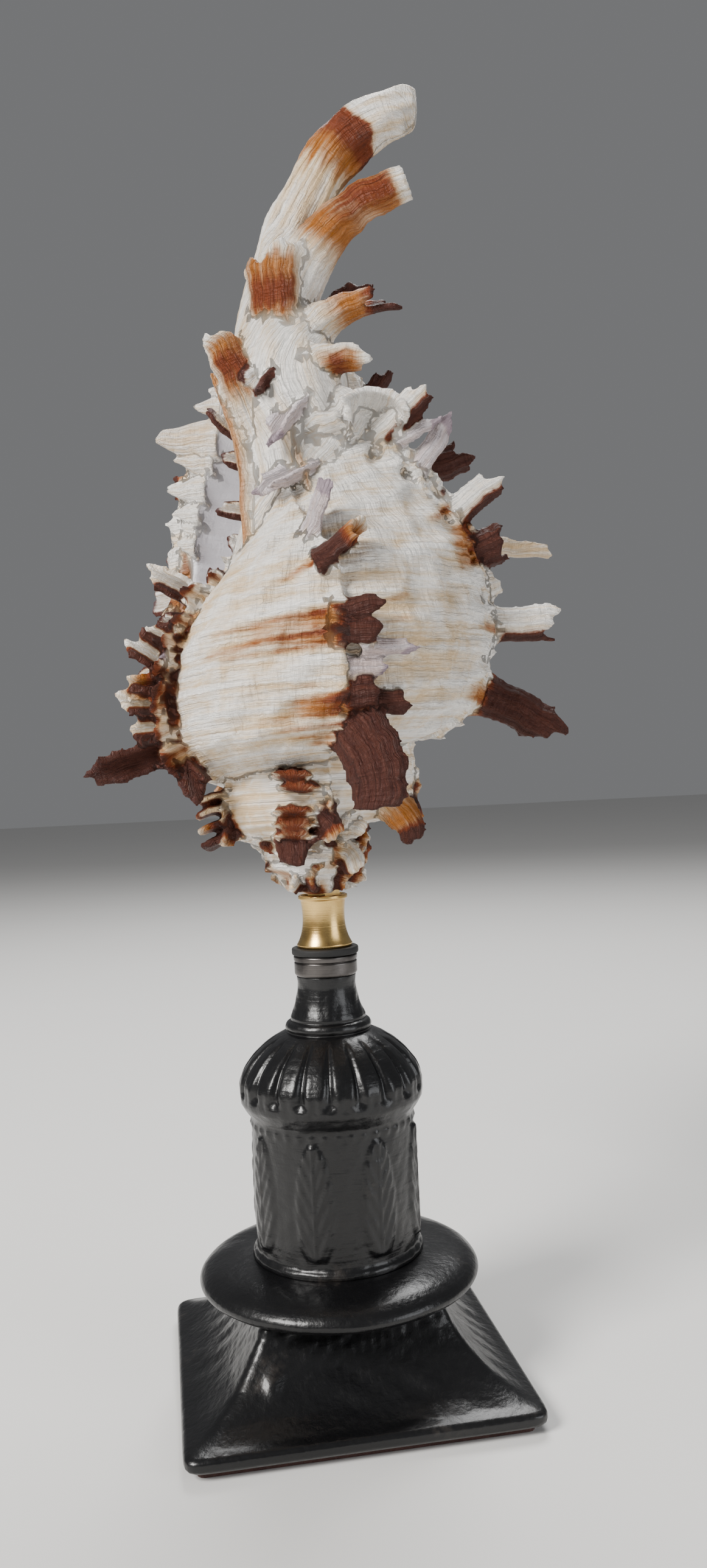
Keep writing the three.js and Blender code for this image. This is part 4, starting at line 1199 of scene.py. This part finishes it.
class Recipe:
    """A material with one Principled shader, and the nodes that feed it."""

    def __init__(self, name: str, **constants: float | tuple[float, ...]) -> None:
        """Starts a material.

        Args:
            name: the material's name.
            constants: values set on the shader's own sockets, with _ for a space.
        """
        self.material = bpy.data.materials.new(name)
        self.material.use_nodes = True
        self.tree = self.material.node_tree
        self.shader = self.tree.nodes["Principled BSDF"]
        for key, value in constants.items():
            self.shader.inputs[key.replace("_", " ").title().replace("Ior", "IOR")].default_value = value

    def node(self, kind: str, settings: dict[str, object], **inputs: object) -> bpy.types.Node:
        """Adds any node.

        Args:
            kind: its type, without the ShaderNode in front.
            settings: its own settings, which are set first.
            inputs: values or wires for its sockets, with _ for a space.

        Returns:
            The node.
        """
        made = self.tree.nodes.new("ShaderNode" + kind)
        for key, value in settings.items():
            setattr(made, key, value)
        for key, value in inputs.items():
            plug(self.tree, made.inputs[key.replace("_", " ")], value)
        return made

    def wire(self, node: bpy.types.Node, output: str | int = 0) -> Wire:
        """One output of a node as a value for expressions."""
        return Wire(self.tree, node.outputs[output])

    def place(self) -> Wire:
        """The object's own coordinates."""
        return self.wire(self.node("TexCoord", {}), "Object")

    def attribute(self, name: str, output: str = "Vector") -> Wire:
        """An attribute of the mesh."""
        return self.wire(self.node("Attribute", {"attribute_name": name}), output)

    def parts(self, vector: Wire) -> tuple[Wire, Wire, Wire]:
        """The three numbers of a vector."""
        split = self.node("SeparateXYZ", {}, Vector=vector)
        return self.wire(split, 0), self.wire(split, 1), self.wire(split, 2)

    def vector(self, x: "Wire | float", y: "Wire | float", z: "Wire | float") -> Wire:
        """A vector of three numbers."""
        return self.wire(self.node("CombineXYZ", {}, X=x, Y=y, Z=z))

    def noise(self, at: Wire, scale: float, detail: float = 3.0, roughness: float = 0.55) -> Wire:
        """Noise from 0 to 1."""
        made = self.node("TexNoise", {}, Vector=at, Scale=scale, Detail=detail, Roughness=roughness)
        return self.wire(made, 0)

    def mixed(self, share: "Wire | float", first: "Wire | Colour", second: "Wire | Colour") -> Wire:
        """A colour between two others."""
        made = self.node("Mix", {"data_type": "RGBA"})
        for slot, value in zip(MIX_INPUTS, (share, first, second)):
            plug(self.tree, made.inputs[slot], value if isinstance(value, (Wire, float)) else (*value, 1.0))
        return self.wire(made, MIX_COLOUR)

    def feed(self, socket: str, value: Wire) -> None:
        """Links a value to the shader."""
        self.tree.links.new(value.socket, self.shader.inputs[socket])

    def bump(self, height: Wire, distance: float, strength: float = 1.0) -> None:
        """Raises the surface in looks only, by height times a distance in metres."""
        made = self.node("Bump", {}, Height=height, Distance=distance, Strength=strength)
        self.tree.links.new(made.outputs[0], self.shader.inputs["Normal"])


@dataclass(frozen=True)
class ShellFinish:
    """Porcelain white and cream, with amber streaks and dark chestnut fronds."""

    white: Colour = (0.95, 0.92, 0.87)
    cream: Colour = (0.74, 0.50, 0.24)
    amber: Colour = (0.36, 0.115, 0.010)
    rust: Colour = (0.17, 0.032, 0.006)
    chestnut: Colour = (0.040, 0.009, 0.006)
    umber: Colour = (0.078, 0.021, 0.012)
    lilac: Colour = (0.46, 0.38, 0.44)
    pearl: Colour = (0.74, 0.73, 0.79)

    def material(self) -> bpy.types.Material:
        """The shell's material."""
        recipe = Recipe("shell_porcelain", specular_ior_level=0.3)
        stain = recipe.node("Attribute", {"attribute_name": "stain"})
        dark, amber, lilac = recipe.parts(recipe.wire(stain, "Color"))
        pearl = recipe.wire(stain, "Alpha")
        along, across, groove = recipe.parts(recipe.attribute("grain"))
        at = recipe.place()
        streak = recipe.noise(recipe.vector(along * 0.04, across * 1.1, 0.0), 1.0, 5.0, 0.62)
        cross = recipe.noise(recipe.vector(along * 0.6, across * 0.06, 0.0), 1.0, 3.0, 0.5)
        mottle = recipe.noise(at, 320.0, 5.0, 0.6)
        cloud = recipe.noise(at, 60.0, 3.0)
        cream = (streak * 0.75 + cloud * 0.85 + cross * 0.15 + groove * 0.3).step(0.85, 1.3)
        colour = recipe.mixed(cream * 0.85, self.white, self.cream)
        wet = amber + (streak - 0.5) * 0.8 + (mottle - 0.5) * 0.2
        colour = recipe.mixed(wet.step(0.05, 0.6) * 0.55, colour, self.cream)
        colour = recipe.mixed(wet.step(0.3, 1.05), colour, self.amber)
        burnt = dark + amber * 0.35 + (streak - 0.5) * 0.5 + (mottle - 0.5) * 0.3
        colour = recipe.mixed(burnt.step(0.45, 0.8), colour, self.rust)
        deep = dark + (streak - 0.5) * 0.45 + (mottle - 0.5) * 0.3
        ridge = streak * 0.9 + mottle * 0.3 - groove * 0.45
        worn = recipe.mixed(ridge.step(0.05, 0.65), self.chestnut, self.umber)
        colour = recipe.mixed(deep.step(0.5, 0.78), colour, worn)
        colour = recipe.mixed((lilac + (cloud - 0.5) * 0.4).step(0.25, 0.9) * 0.7, colour, self.lilac)
        colour = recipe.mixed(pearl * 0.9, colour, self.pearl)
        specks = recipe.noise(at, 1500.0, 2.0).step(0.74, 0.8)
        colour = recipe.mixed(specks * (1.0 - pearl) * 0.6, colour, self.rust)
        recipe.feed("Base Color", colour)
        recipe.feed("Roughness", 0.34 + dark * 0.16 + mottle * 0.18 - pearl * 0.16)
        lines = recipe.noise(recipe.vector(along * 1.4, across * 0.16, 0.0), 1.0, 3.0, 0.6)
        threads = recipe.noise(recipe.vector(along * 0.09, across * 1.5, 0.0), 1.0, 4.0, 0.6)
        height = (lines * 0.5 + threads * 1.1) * (1.0 - pearl * 0.9) + mottle * 0.25
        recipe.bump(height, 0.0012)
        return recipe.material


@dataclass(frozen=True)
class BlackPaint:
    """Brushed black gloss paint, worn thin in scattered patches."""

    name: str = "black_paint"
    black: Colour = (0.004, 0.004, 0.0045)
    worn: Colour = (0.03, 0.025, 0.022)
    brushed: float = 1.0

    def material(self) -> bpy.types.Material:
        """The paint's material."""
        recipe = Recipe(self.name, specular_ior_level=0.4, coat_weight=0.15, coat_roughness=0.1)
        at = recipe.place()
        x, y, z = recipe.parts(at)
        cloud = recipe.noise(at, 90.0, 4.0)
        fine = recipe.noise(at, 900.0, 3.0)
        strokes = recipe.noise(recipe.vector(x * 40.0, y * 40.0, z * 700.0), 1.0, 3.0)
        rubbed = (cloud + fine * 0.3).step(0.78, 0.95)
        recipe.feed("Base Color", recipe.mixed(rubbed * 0.8, self.black, self.worn))
        recipe.feed("Roughness", 0.16 + cloud * 0.2 + fine * 0.12)
        recipe.bump(cloud * 0.6 + fine * 0.25 + strokes * 0.35 * self.brushed, 0.0004)
        return recipe.material


@dataclass(frozen=True)
class TurnedMetal:
    """A lathe-turned metal with fine rings left by the tool."""

    name: str
    bright: Colour
    dull: Colour
    roughness: float = 0.2
    rings: float = 1.0

    def material(self) -> bpy.types.Material:
        """The metal's material."""
        recipe = Recipe(self.name, metallic=1.0)
        at = recipe.place()
        x, y, z = recipe.parts(at)
        tarnish = recipe.noise(at, 210.0, 4.0)
        rings = recipe.noise(recipe.vector(x * 8.0, y * 8.0, z * 5200.0), 1.0, 2.0)
        smears = recipe.noise(recipe.vector(x * 300.0, y * 300.0, z * 60.0), 1.0, 3.0)
        recipe.feed("Base Color", recipe.mixed(tarnish.step(0.42, 0.72) * 0.75, self.bright, self.dull))
        recipe.feed("Roughness", self.roughness + smears * 0.16 + rings * 0.05)
        recipe.bump(rings * 0.5 * self.rings + smears * 0.2, 0.00006)
        return recipe.material


@dataclass(frozen=True)
class Grained:
    """A dull material with a fine grain, such as rubber, felt or putty."""

    name: str
    base: Colour
    second: Colour
    roughness: float
    scale: float
    depth: float
    sheen: float = 0.0

    def material(self) -> bpy.types.Material:
        """The material."""
        recipe = Recipe(self.name, sheen_weight=self.sheen)
        at = recipe.place()
        grain = recipe.noise(at, self.scale, 6.0, 0.7)
        cloud = recipe.noise(at, self.scale * 0.07, 3.0)
        share = (grain * 0.7 + cloud * 0.5).step(0.4, 0.8)
        recipe.feed("Base Color", recipe.mixed(share, self.base, self.second))
        recipe.feed("Roughness", self.roughness - 0.12 + grain * 0.2)
        recipe.bump(grain, self.depth)
        return recipe.material


# ---- The stand ----------------------------------------------------------------------------


def lathe(name: str, profile: list[tuple[float, float]], steps: int) -> bmesh.types.BMesh:
    """A closed profile of radius and height in mm, spun about Z.

    Args:
        name: what is being turned, for the log.
        profile: the corners in order; the last joins the first.
        steps: how many steps go round.

    Returns:
        The turned shape, in metres.
    """
    bm = bmesh.new()
    verts = [bm.verts.new((radius * MM, 0, height * MM)) for radius, height in profile]
    edges = [bm.edges.new((verts[i], verts[(i + 1) % len(verts)])) for i in range(len(verts))]
    bmesh.ops.spin(
        bm, geom=verts + edges, cent=(0, 0, 0), axis=(0, 0, 1), angle=2 * math.pi, steps=steps,
        use_merge=True,
    )
    bmesh.ops.remove_doubles(bm, verts=bm.verts, dist=1e-7)
    bmesh.ops.recalc_face_normals(bm, faces=bm.faces)
    log.info("turned %s: %d faces", name, len(bm.faces))
    return bm


def curve_point(points: list[Array], t: float) -> Array:
    """One point of a Bezier curve, from its control points."""
    last = len(points) - 1
    return sum(math.comb(last, k) * t**k * (1 - t) ** (last - k) * point for k, point in enumerate(points))


def softened(corners: list[tuple[float, float, float]], spacing: float) -> list[tuple[float, float]]:
    """Rounds the corners of a closed profile and fills its long sides with points.

    Args:
        corners: radius, height and rounding radius of each corner, in mm.
        spacing: the longest step left between points, in mm.

    Returns:
        The finer profile.
    """
    count = len(corners)
    found: list[Array] = []
    for i in range(count):
        here = np.array(corners[i][:2], float)
        before = np.array(corners[i - 1][:2], float)
        after = np.array(corners[(i + 1) % count][:2], float)
        to_before, to_after = before - here, after - here
        room = 0.45 * min(np.linalg.norm(to_before), np.linalg.norm(to_after))
        size = min(corners[i][2], room)
        if size <= 0:
            found.append(here)
            continue
        start = here + to_before / np.linalg.norm(to_before) * size
        end = here + to_after / np.linalg.norm(to_after) * size
        found += [curve_point([start, here, end], t) for t in np.linspace(0, 1, 5)]
    filled: list[tuple[float, float]] = []
    for i, point in enumerate(found):
        onward = found[(i + 1) % len(found)]
        pieces = max(1, int(math.ceil(np.linalg.norm(onward - point) / spacing)))
        for k in range(pieces):
            filled.append(tuple(point + (onward - point) * k / pieces))
    return filled


def bezier(points: tuple[tuple[float, float], ...], count: int) -> list[tuple[float, float, float]]:
    """Points of a Bezier curve, as smooth profile corners."""
    controls = [np.array(point, float) for point in points]
    found = [curve_point(controls, t) for t in np.linspace(0, 1, count)]
    return [(float(radius), float(height), 0.0) for radius, height in found]


def measured(bm: bmesh.types.BMesh) -> tuple[Array, Array, Array]:
    """The place of each vertex in mm, how far it is from the Z axis and its angle round it."""
    at = np.array([v.co for v in bm.verts]) / MM
    return at, np.hypot(at[:, 0], at[:, 1]), np.arctan2(at[:, 1], at[:, 0])


def widened(bm: bmesh.types.BMesh, factors: Array) -> None:
    """Moves each vertex out from the Z axis, or in towards it, by its own factor."""
    for vert, factor in zip(bm.verts, factors):
        vert.co.x *= factor
        vert.co.y *= factor


def finished(
    bm: bmesh.types.BMesh, name: str, node: str, material: bpy.types.Material,
    smooth: bool = True,
) -> bpy.types.Object:
    """Makes a bmesh into a piece that stands for a CAD node.

    Args:
        bm: the shape, in metres.
        name: the piece's name.
        node: the CAD node it replaces.
        material: its finish.
        smooth: whether its faces are shaded smoothly.

    Returns:
        The piece.
    """
    mesh = bpy.data.meshes.new(name)
    bm.to_mesh(mesh)
    bm.free()
    mesh.polygons.foreach_set("use_smooth", [smooth] * len(mesh.polygons))
    mesh.materials.append(material)
    piece = bpy.data.objects.new(name, mesh)
    bpy.context.scene.collection.objects.link(piece)
    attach(piece, "root")
    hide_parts(node)
    log.info("%s: %d faces", name, len(mesh.polygons))
    return piece


@dataclass
class FlutedColumn:
    """The cast column: a drum with leaves in low relief, a fluted dome, a bead and a neck."""

    bore: float = 1.8
    bottom: float = 21.4
    drum: float = 13.9
    drum_top: float = 46.2
    dome: float = 15.7
    top: float = 68.4
    flutes: int = 20
    steps: int = 336
    leaves: int = 8

    def profile(self) -> list[tuple[float, float]]:
        """The column's outline."""
        low, high = self.bottom, self.drum_top
        crown = bezier(
            ((self.dome - 0.1, high + 1.4), (self.dome + 1, high + 6.6), (self.dome - 4.6, high + 11.2),
             (7.8, high + 12.6)), 26,
        )
        return softened(
            [
                (self.bore, low, 0), (self.drum + 0.7, low, 0.15), (self.drum + 0.7, low + 0.8, 0.4),
                (self.drum, low + 1.5, 0.5), (self.drum, high - 1.2, 0.6), (self.dome - 0.9, high, 0.5),
                *crown, (7.1, high + 12.8, 0.2), (7.5, high + 13.6, 0.6), (7.1, high + 14.4, 0.3),
                (6.4, high + 14.7, 0.2), (6.5, high + 15.2, 0.2), (5.5, high + 17.6, 1.2),
                (4.95, high + 20.2, 1), (5.1, self.top, 0.1), (self.bore, self.top, 0),
            ],
            0.42,
        )

    def leaf_relief(self, turn: Array, height: Array) -> Array:
        """Plain upright leaves and beads round the drum, in mm."""
        share = (height - self.bottom - 2.4) / (self.drum_top - self.bottom - 5.4)
        place = np.mod(turn * self.leaves / (2 * math.pi), 1.0) - 0.5
        half = 0.36 * np.sqrt(np.clip(np.sin(math.pi * np.clip(share, 0, 1) ** 0.8), 0, 1))
        body = 1 - smoothstep(0.6, 1.0, np.abs(place) / np.maximum(half, 1e-3))
        rib = bell(place, 0.018)
        veins = 0.5 + 0.5 * np.cos(26 * (share * 1.3 - np.abs(place) * 1.6))
        leaf = body * (0.34 + 0.16 * veins + 0.2 * rib) * (share > 0.02) * (share < 0.98)
        bead_turn = np.mod(turn * self.leaves * 5 / (2 * math.pi), 1.0) - 0.5
        beads = 0.3 * bell(bead_turn, 0.28) * bell(height - self.drum_top + 2.2, 0.55)
        return leaf + beads

    def build(self) -> bpy.types.Object:
        """Turns the column, then works its flutes and leaves."""
        bm = lathe("column", self.profile(), self.steps)
        at, reach, turn = measured(bm)
        height = at[:, 2]
        share = (height - self.drum_top - 1.2) / 11.2
        on_dome = (share > 0) & (share < 1) & (reach > 7.2)
        wave = 0.5 + 0.5 * np.cos(turn * self.flutes)
        depth = 0.8 * smoothstep(0.08, 0.22, share) * (1 - smoothstep(0.86, 1.0, share)) * reach / self.dome
        oval = np.cos(turn * self.flutes / 2) ** 8 * bell(share - 0.2, 0.1)
        thin = 1.3 + 5.5 * smoothstep(0.18, 0.5, share)
        flute = 0.35 * depth - 1.1 * depth * (1 - wave) ** thin - 0.35 * oval
        drum = (reach > self.drum - 0.4) & (height > self.bottom + 1.8) & (height < self.drum_top - 1.3)
        move = np.where(on_dome, flute, 0) + np.where(drum, self.leaf_relief(turn, height), 0)
        move = move + 0.05 * rumple(at, 3.0, 41) * (reach > self.bore + 0.5)
        widened(bm, 1 + move / reach)
        paint = BlackPaint("column_paint").material()
        return finished(bm, "column_turned", "fluted_column", paint)


@dataclass
class RingPlinth:
    """The broad ring between the column and the base."""

    bore: float = 1.8
    radius: float = 24.5
    bottom: float = 16.6
    top: float = 21.4
    drum: float = 13.9
    steps: int = 240

    def build(self) -> bpy.types.Object:
        """Turns the ring."""
        rim = bezier(
            ((self.radius - 3.2, self.bottom), (self.radius + 1, self.bottom),
             (self.radius + 0.6, self.top - 0.6), (self.drum + 1.8, self.top)), 40,
        )
        profile = softened([(self.bore, self.bottom, 0), *rim, (self.bore, self.top, 0)], 0.8)
        bm = lathe("ring", profile, self.steps)
        at, reach, _ = measured(bm)
        lift = 0.05 * rumple(at, 9.0, 43) * (reach > 15)
        for vert, shift in zip(bm.verts, lift):
            vert.co.z += float(shift) * MM
        return finished(bm, "ring_turned", "ring_plinth", BlackPaint("ring_paint").material())


@dataclass
class SquareBase:
    """The square foot: a lip, then four hollow faces that flare up to the ring."""

    side: float = 56.0
    bottom: float = 1.2
    lip_top: float = 3.5
    top_side: float = 29.0
    top: float = 16.6
    recess: float = 5.4
    recess_top: float = 7.4
    bore: float = 1.8
    steps: int = 256

    def build(self) -> bpy.types.Object:
        """Turns the profile, then squares it."""
        half, small = self.side / 2, self.top_side / 2
        flare = bezier(
            ((half - 2.2, self.lip_top + 0.5), (half - 9.5, self.lip_top + 3.4), (small, self.top)), 34,
        )
        profile = softened(
            [
                (self.bore, self.recess_top, 0), (self.recess, self.recess_top, 0),
                (self.recess, self.bottom, 0),
                (half - 0.6, self.bottom, 0.3), (half, self.bottom + 0.6, 0.4),
                (half, self.lip_top - 0.5, 0.5),
                (half - 0.5, self.lip_top, 0.5), *flare, (self.bore, self.top, 0),
            ],
            0.7,
        )
        bm = lathe("base", profile, self.steps)
        at, reach, turn = measured(bm)
        power = 26.0
        square = (np.abs(np.cos(turn)) ** power + np.abs(np.sin(turn)) ** power) ** (-1 / power)
        share = smoothstep(self.recess + 0.3, self.recess + 4, reach)
        scale = 1 + (square - 1) * share
        height = at[:, 2]
        rough = (height > self.lip_top + 0.4) & (height < self.top - 0.2) & (reach > self.recess + 4)
        top_wear = smoothstep(self.top - 6, self.top - 1, height)
        lump = rumple(at, 6.0, 45) * 0.12 + rumple(at, 1.8, 46) * (0.05 + 0.16 * top_wear)
        blob = 0.9 * bell(np.hypot(at[:, 0] * scale + 13.5, at[:, 2] - 9.0), 1.3) * (at[:, 1] < -10)
        shift = np.where(rough, lump + blob, 0)
        widened(bm, scale * (1 + shift / reach))
        paint = BlackPaint("base_paint", brushed=0.4).material()
        return finished(bm, "base_cast", "square_base", paint)


@dataclass
class NeckStack:
    """The brass neck, the black washer under it and the dark collar."""

    bore: float = 1.8
    collar_bottom: float = 68.4
    collar_top: float = 72.0
    collar_radius: float = 5.5
    washer_radius: float = 5.75
    washer: float = 1.2
    foot: float = 4.8
    waist: float = 3.55
    rim: float = 4.25
    top: float = 82.2

    def build_brass(self) -> bpy.types.Object:
        """Turns the brass neck."""
        low = self.collar_top + self.washer
        waist = bezier(
            ((self.foot, low + 0.5), (self.waist - 0.1, low + 2.6), (self.waist - 0.1, low + 5.6),
             (self.rim - 0.35, self.top - 0.8)), 30,
        )
        profile = softened(
            [
                (self.bore, low, 0), (self.foot - 0.2, low, 0.15), *waist, (self.rim, self.top - 0.7, 0.1),
                (self.rim, self.top - 0.15, 0.1), (self.rim - 0.25, self.top, 0.1),
                (self.rim - 0.5, self.top, 0.1),
                (3.45, self.top - 0.55, 0), (self.bore, self.top - 0.55, 0),
            ],
            0.3,
        )
        brass = TurnedMetal("brass_polished", (0.78, 0.53, 0.20), (0.50, 0.31, 0.11), 0.16).material()
        return finished(lathe("brass neck", profile, 160), "brass_turned", "brass_neck", brass)

    def build_washer(self) -> bpy.types.Object:
        """Turns the black washer."""
        low, high = self.collar_top, self.collar_top + self.washer
        profile = softened(
            [(self.bore, low, 0), (self.washer_radius, low, 0.35), (self.washer_radius, high, 0.35),
             (self.bore, high, 0)], 0.3,
        )
        black, grey = (0.004, 0.004, 0.004), (0.012, 0.012, 0.012)
        rubber = Grained("washer_rubber", black, grey, 0.7, 1500.0, 0.00008).material()
        return finished(lathe("washer", profile, 128), "washer_turned", "seating_washer", rubber)

    def build_collar(self) -> bpy.types.Object:
        """Turns the dark collar."""
        low, high, radius = self.collar_bottom, self.collar_top, self.collar_radius
        profile = softened(
            [
                (self.bore, low, 0), (radius - 0.4, low, 0.2), (radius - 0.1, low + 0.4, 0.2),
                (radius - 0.1, high - 1.3, 0.1), (radius - 0.3, high - 1.15, 0.05),
                (radius - 0.05, high - 0.95, 0.1), (radius, high - 0.25, 0.2),
                (radius - 0.25, high, 0.15), (self.bore, high, 0),
            ],
            0.25,
        )
        metal = TurnedMetal("gunmetal", (0.13, 0.12, 0.115), (0.03, 0.028, 0.028), 0.24).material()
        return finished(lathe("collar", profile, 160), "collar_turned", "collar", metal)


@dataclass
class FeltPad:
    """The thin felt under the base, with rounded corners and a fine, slightly fuzzy grain."""

    side: float = 52.0
    thick: float = 1.2
    corner: float = 1.2

    def build(self) -> bpy.types.Object:
        """Cuts the felt from a block, rounds its corners and divides its faces."""
        bm = bmesh.new()
        bmesh.ops.create_cube(bm, size=1.0)
        bmesh.ops.scale(bm, vec=(self.side * MM, self.side * MM, self.thick * MM), verts=bm.verts)
        bmesh.ops.translate(bm, vec=(0, 0, self.thick / 2 * MM), verts=bm.verts)
        upright = [e for e in bm.edges if abs(e.verts[0].co.z - e.verts[1].co.z) > 0.5 * self.thick * MM]
        bmesh.ops.bevel(
            bm, geom=upright, offset=self.corner * MM, offset_type="OFFSET", affect="EDGES", segments=3,
            profile=0.5, material=-1,
        )
        bmesh.ops.subdivide_edges(bm, edges=bm.edges, cuts=5, use_grid_fill=True)
        felt = Grained("felt", (0.05, 0.018, 0.014), (0.11, 0.045, 0.035), 0.95, 2600.0, 0.0002, 0.3)
        return finished(bm, "felt_cut", "felt_pad", felt.material(), smooth=False)


def dress_hidden() -> None:
    """Gives the rod, nuts, washer and putty inside the stack their finishes."""
    zinc = TurnedMetal("zinc_steel", (0.62, 0.63, 0.65), (0.36, 0.37, 0.39), 0.3).material()
    brass = TurnedMetal("brass_nut", (0.70, 0.48, 0.19), (0.42, 0.27, 0.10), 0.25).material()
    putty = Grained("putty", (0.62, 0.56, 0.46), (0.42, 0.37, 0.29), 0.8, 700.0, 0.0002).material()
    finishes = {
        "centre_rod": zinc, "lower_washer": zinc, "lower_nut": zinc, "brass_lock_nut": brass,
        "bedding_putty": putty,
    }
    for node, material in finishes.items():
        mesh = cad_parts[node].data
        mesh.materials.clear()
        mesh.materials.append(material)


# ---- Studio -------------------------------------------------------------------------------


@dataclass
class Studio:
    """The floor, the soft lights and the camera."""

    eye: tuple[float, float, float] = (6.2, -200.5, 100.9)
    turn: float = -9.5
    roll: float = 2.6
    lens: float = 26.68
    sensor: float = 36.0
    floor: Colour = (0.78, 0.77, 0.75)
    sky: Colour = (0.80, 0.81, 0.83)
    sky_strength: float = 0.22
    aim_height: float = 0.12

    def camera(self) -> bpy.types.Object:
        """A level camera at the object's mid height, rolled a little."""
        data = bpy.data.cameras.new("camera")
        data.sensor_fit = "VERTICAL"
        data.sensor_height = self.sensor
        data.lens = self.lens
        data.clip_start = 0.005
        made = bpy.data.objects.new("camera", data)
        roll = math.radians(self.roll)
        right = Vector((math.cos(roll), 0, -math.sin(roll)))
        up = Vector((math.sin(roll), 0, math.cos(roll)))
        axes = Matrix((right, up, Vector((0, -1, 0)))).transposed().to_4x4()
        spun = Matrix.Rotation(math.radians(self.turn), 4, "Z")
        made.matrix_world = spun @ Matrix.Translation(Vector(self.eye) * MM) @ axes
        bpy.context.scene.collection.objects.link(made)
        bpy.context.scene.camera = made
        return made

    def ground(self) -> bpy.types.Object:
        """A plain pale floor."""
        bm = bmesh.new()
        bmesh.ops.create_grid(bm, x_segments=1, y_segments=1, size=4.0)
        mesh = bpy.data.meshes.new("floor")
        bm.to_mesh(mesh)
        bm.free()
        recipe = Recipe("floor_pale", roughness=0.85)
        cloud = recipe.noise(recipe.place(), 12.0, 2.0)
        recipe.feed("Base Color", recipe.mixed(cloud * 0.5, self.floor, tuple(0.95 * c for c in self.floor)))
        mesh.materials.append(recipe.material)
        made = bpy.data.objects.new("floor", mesh)
        bpy.context.scene.collection.objects.link(made)
        return made

    def light(
        self, name: str, place: tuple[float, float, float], size: float, watts: float, tint: Colour,
    ) -> None:
        """One soft square light that faces the object's middle.

        Args:
            name: its name.
            place: where it is, in metres.
            size: its side, in metres.
            watts: its power.
            tint: its colour.
        """
        data = bpy.data.lights.new(name, "AREA")
        data.shape, data.size, data.energy, data.color = "SQUARE", size, watts, tint
        made = bpy.data.objects.new(name, data)
        made.location = place
        aim = Vector((0, 0, self.aim_height)) - Vector(place)
        made.rotation_euler = aim.to_track_quat("-Z", "Y").to_euler()
        bpy.context.scene.collection.objects.link(made)

    def lights(self) -> None:
        """Soft light from the front left, a fill from the right and one from behind."""
        self.light("key", (-0.62, -0.38, 0.62), 0.32, 13.0, (1.0, 0.98, 0.95))
        self.light("fill", (0.7, -0.6, 0.3), 0.5, 3.0, (0.95, 0.97, 1.0))
        self.light("crown", (0.15, 0.45, 0.75), 0.4, 6.0, (1.0, 1.0, 1.0))
        world = bpy.data.worlds.new("studio")
        world.use_nodes = True
        background = world.node_tree.nodes["Background"]
        background.inputs["Color"].default_value = (*self.sky, 1)
        background.inputs["Strength"].default_value = self.sky_strength
        bpy.context.scene.world = world

    def build(self) -> None:
        """Sets up the camera, floor and lights."""
        self.camera()
        self.ground()
        self.lights()


def main() -> None:
    """Builds the studio, the stand and the shell, in that order."""
    logging.basicConfig(level=logging.INFO, format="%(name)s: %(message)s")
    Studio().build()
    FeltPad().build()
    SquareBase().build()
    RingPlinth().build()
    FlutedColumn().build()
    neck = NeckStack()
    neck.build_collar()
    neck.build_washer()
    neck.build_brass()
    dress_hidden()
    MurexShell().build()


if __name__ == "__main__":
    main()
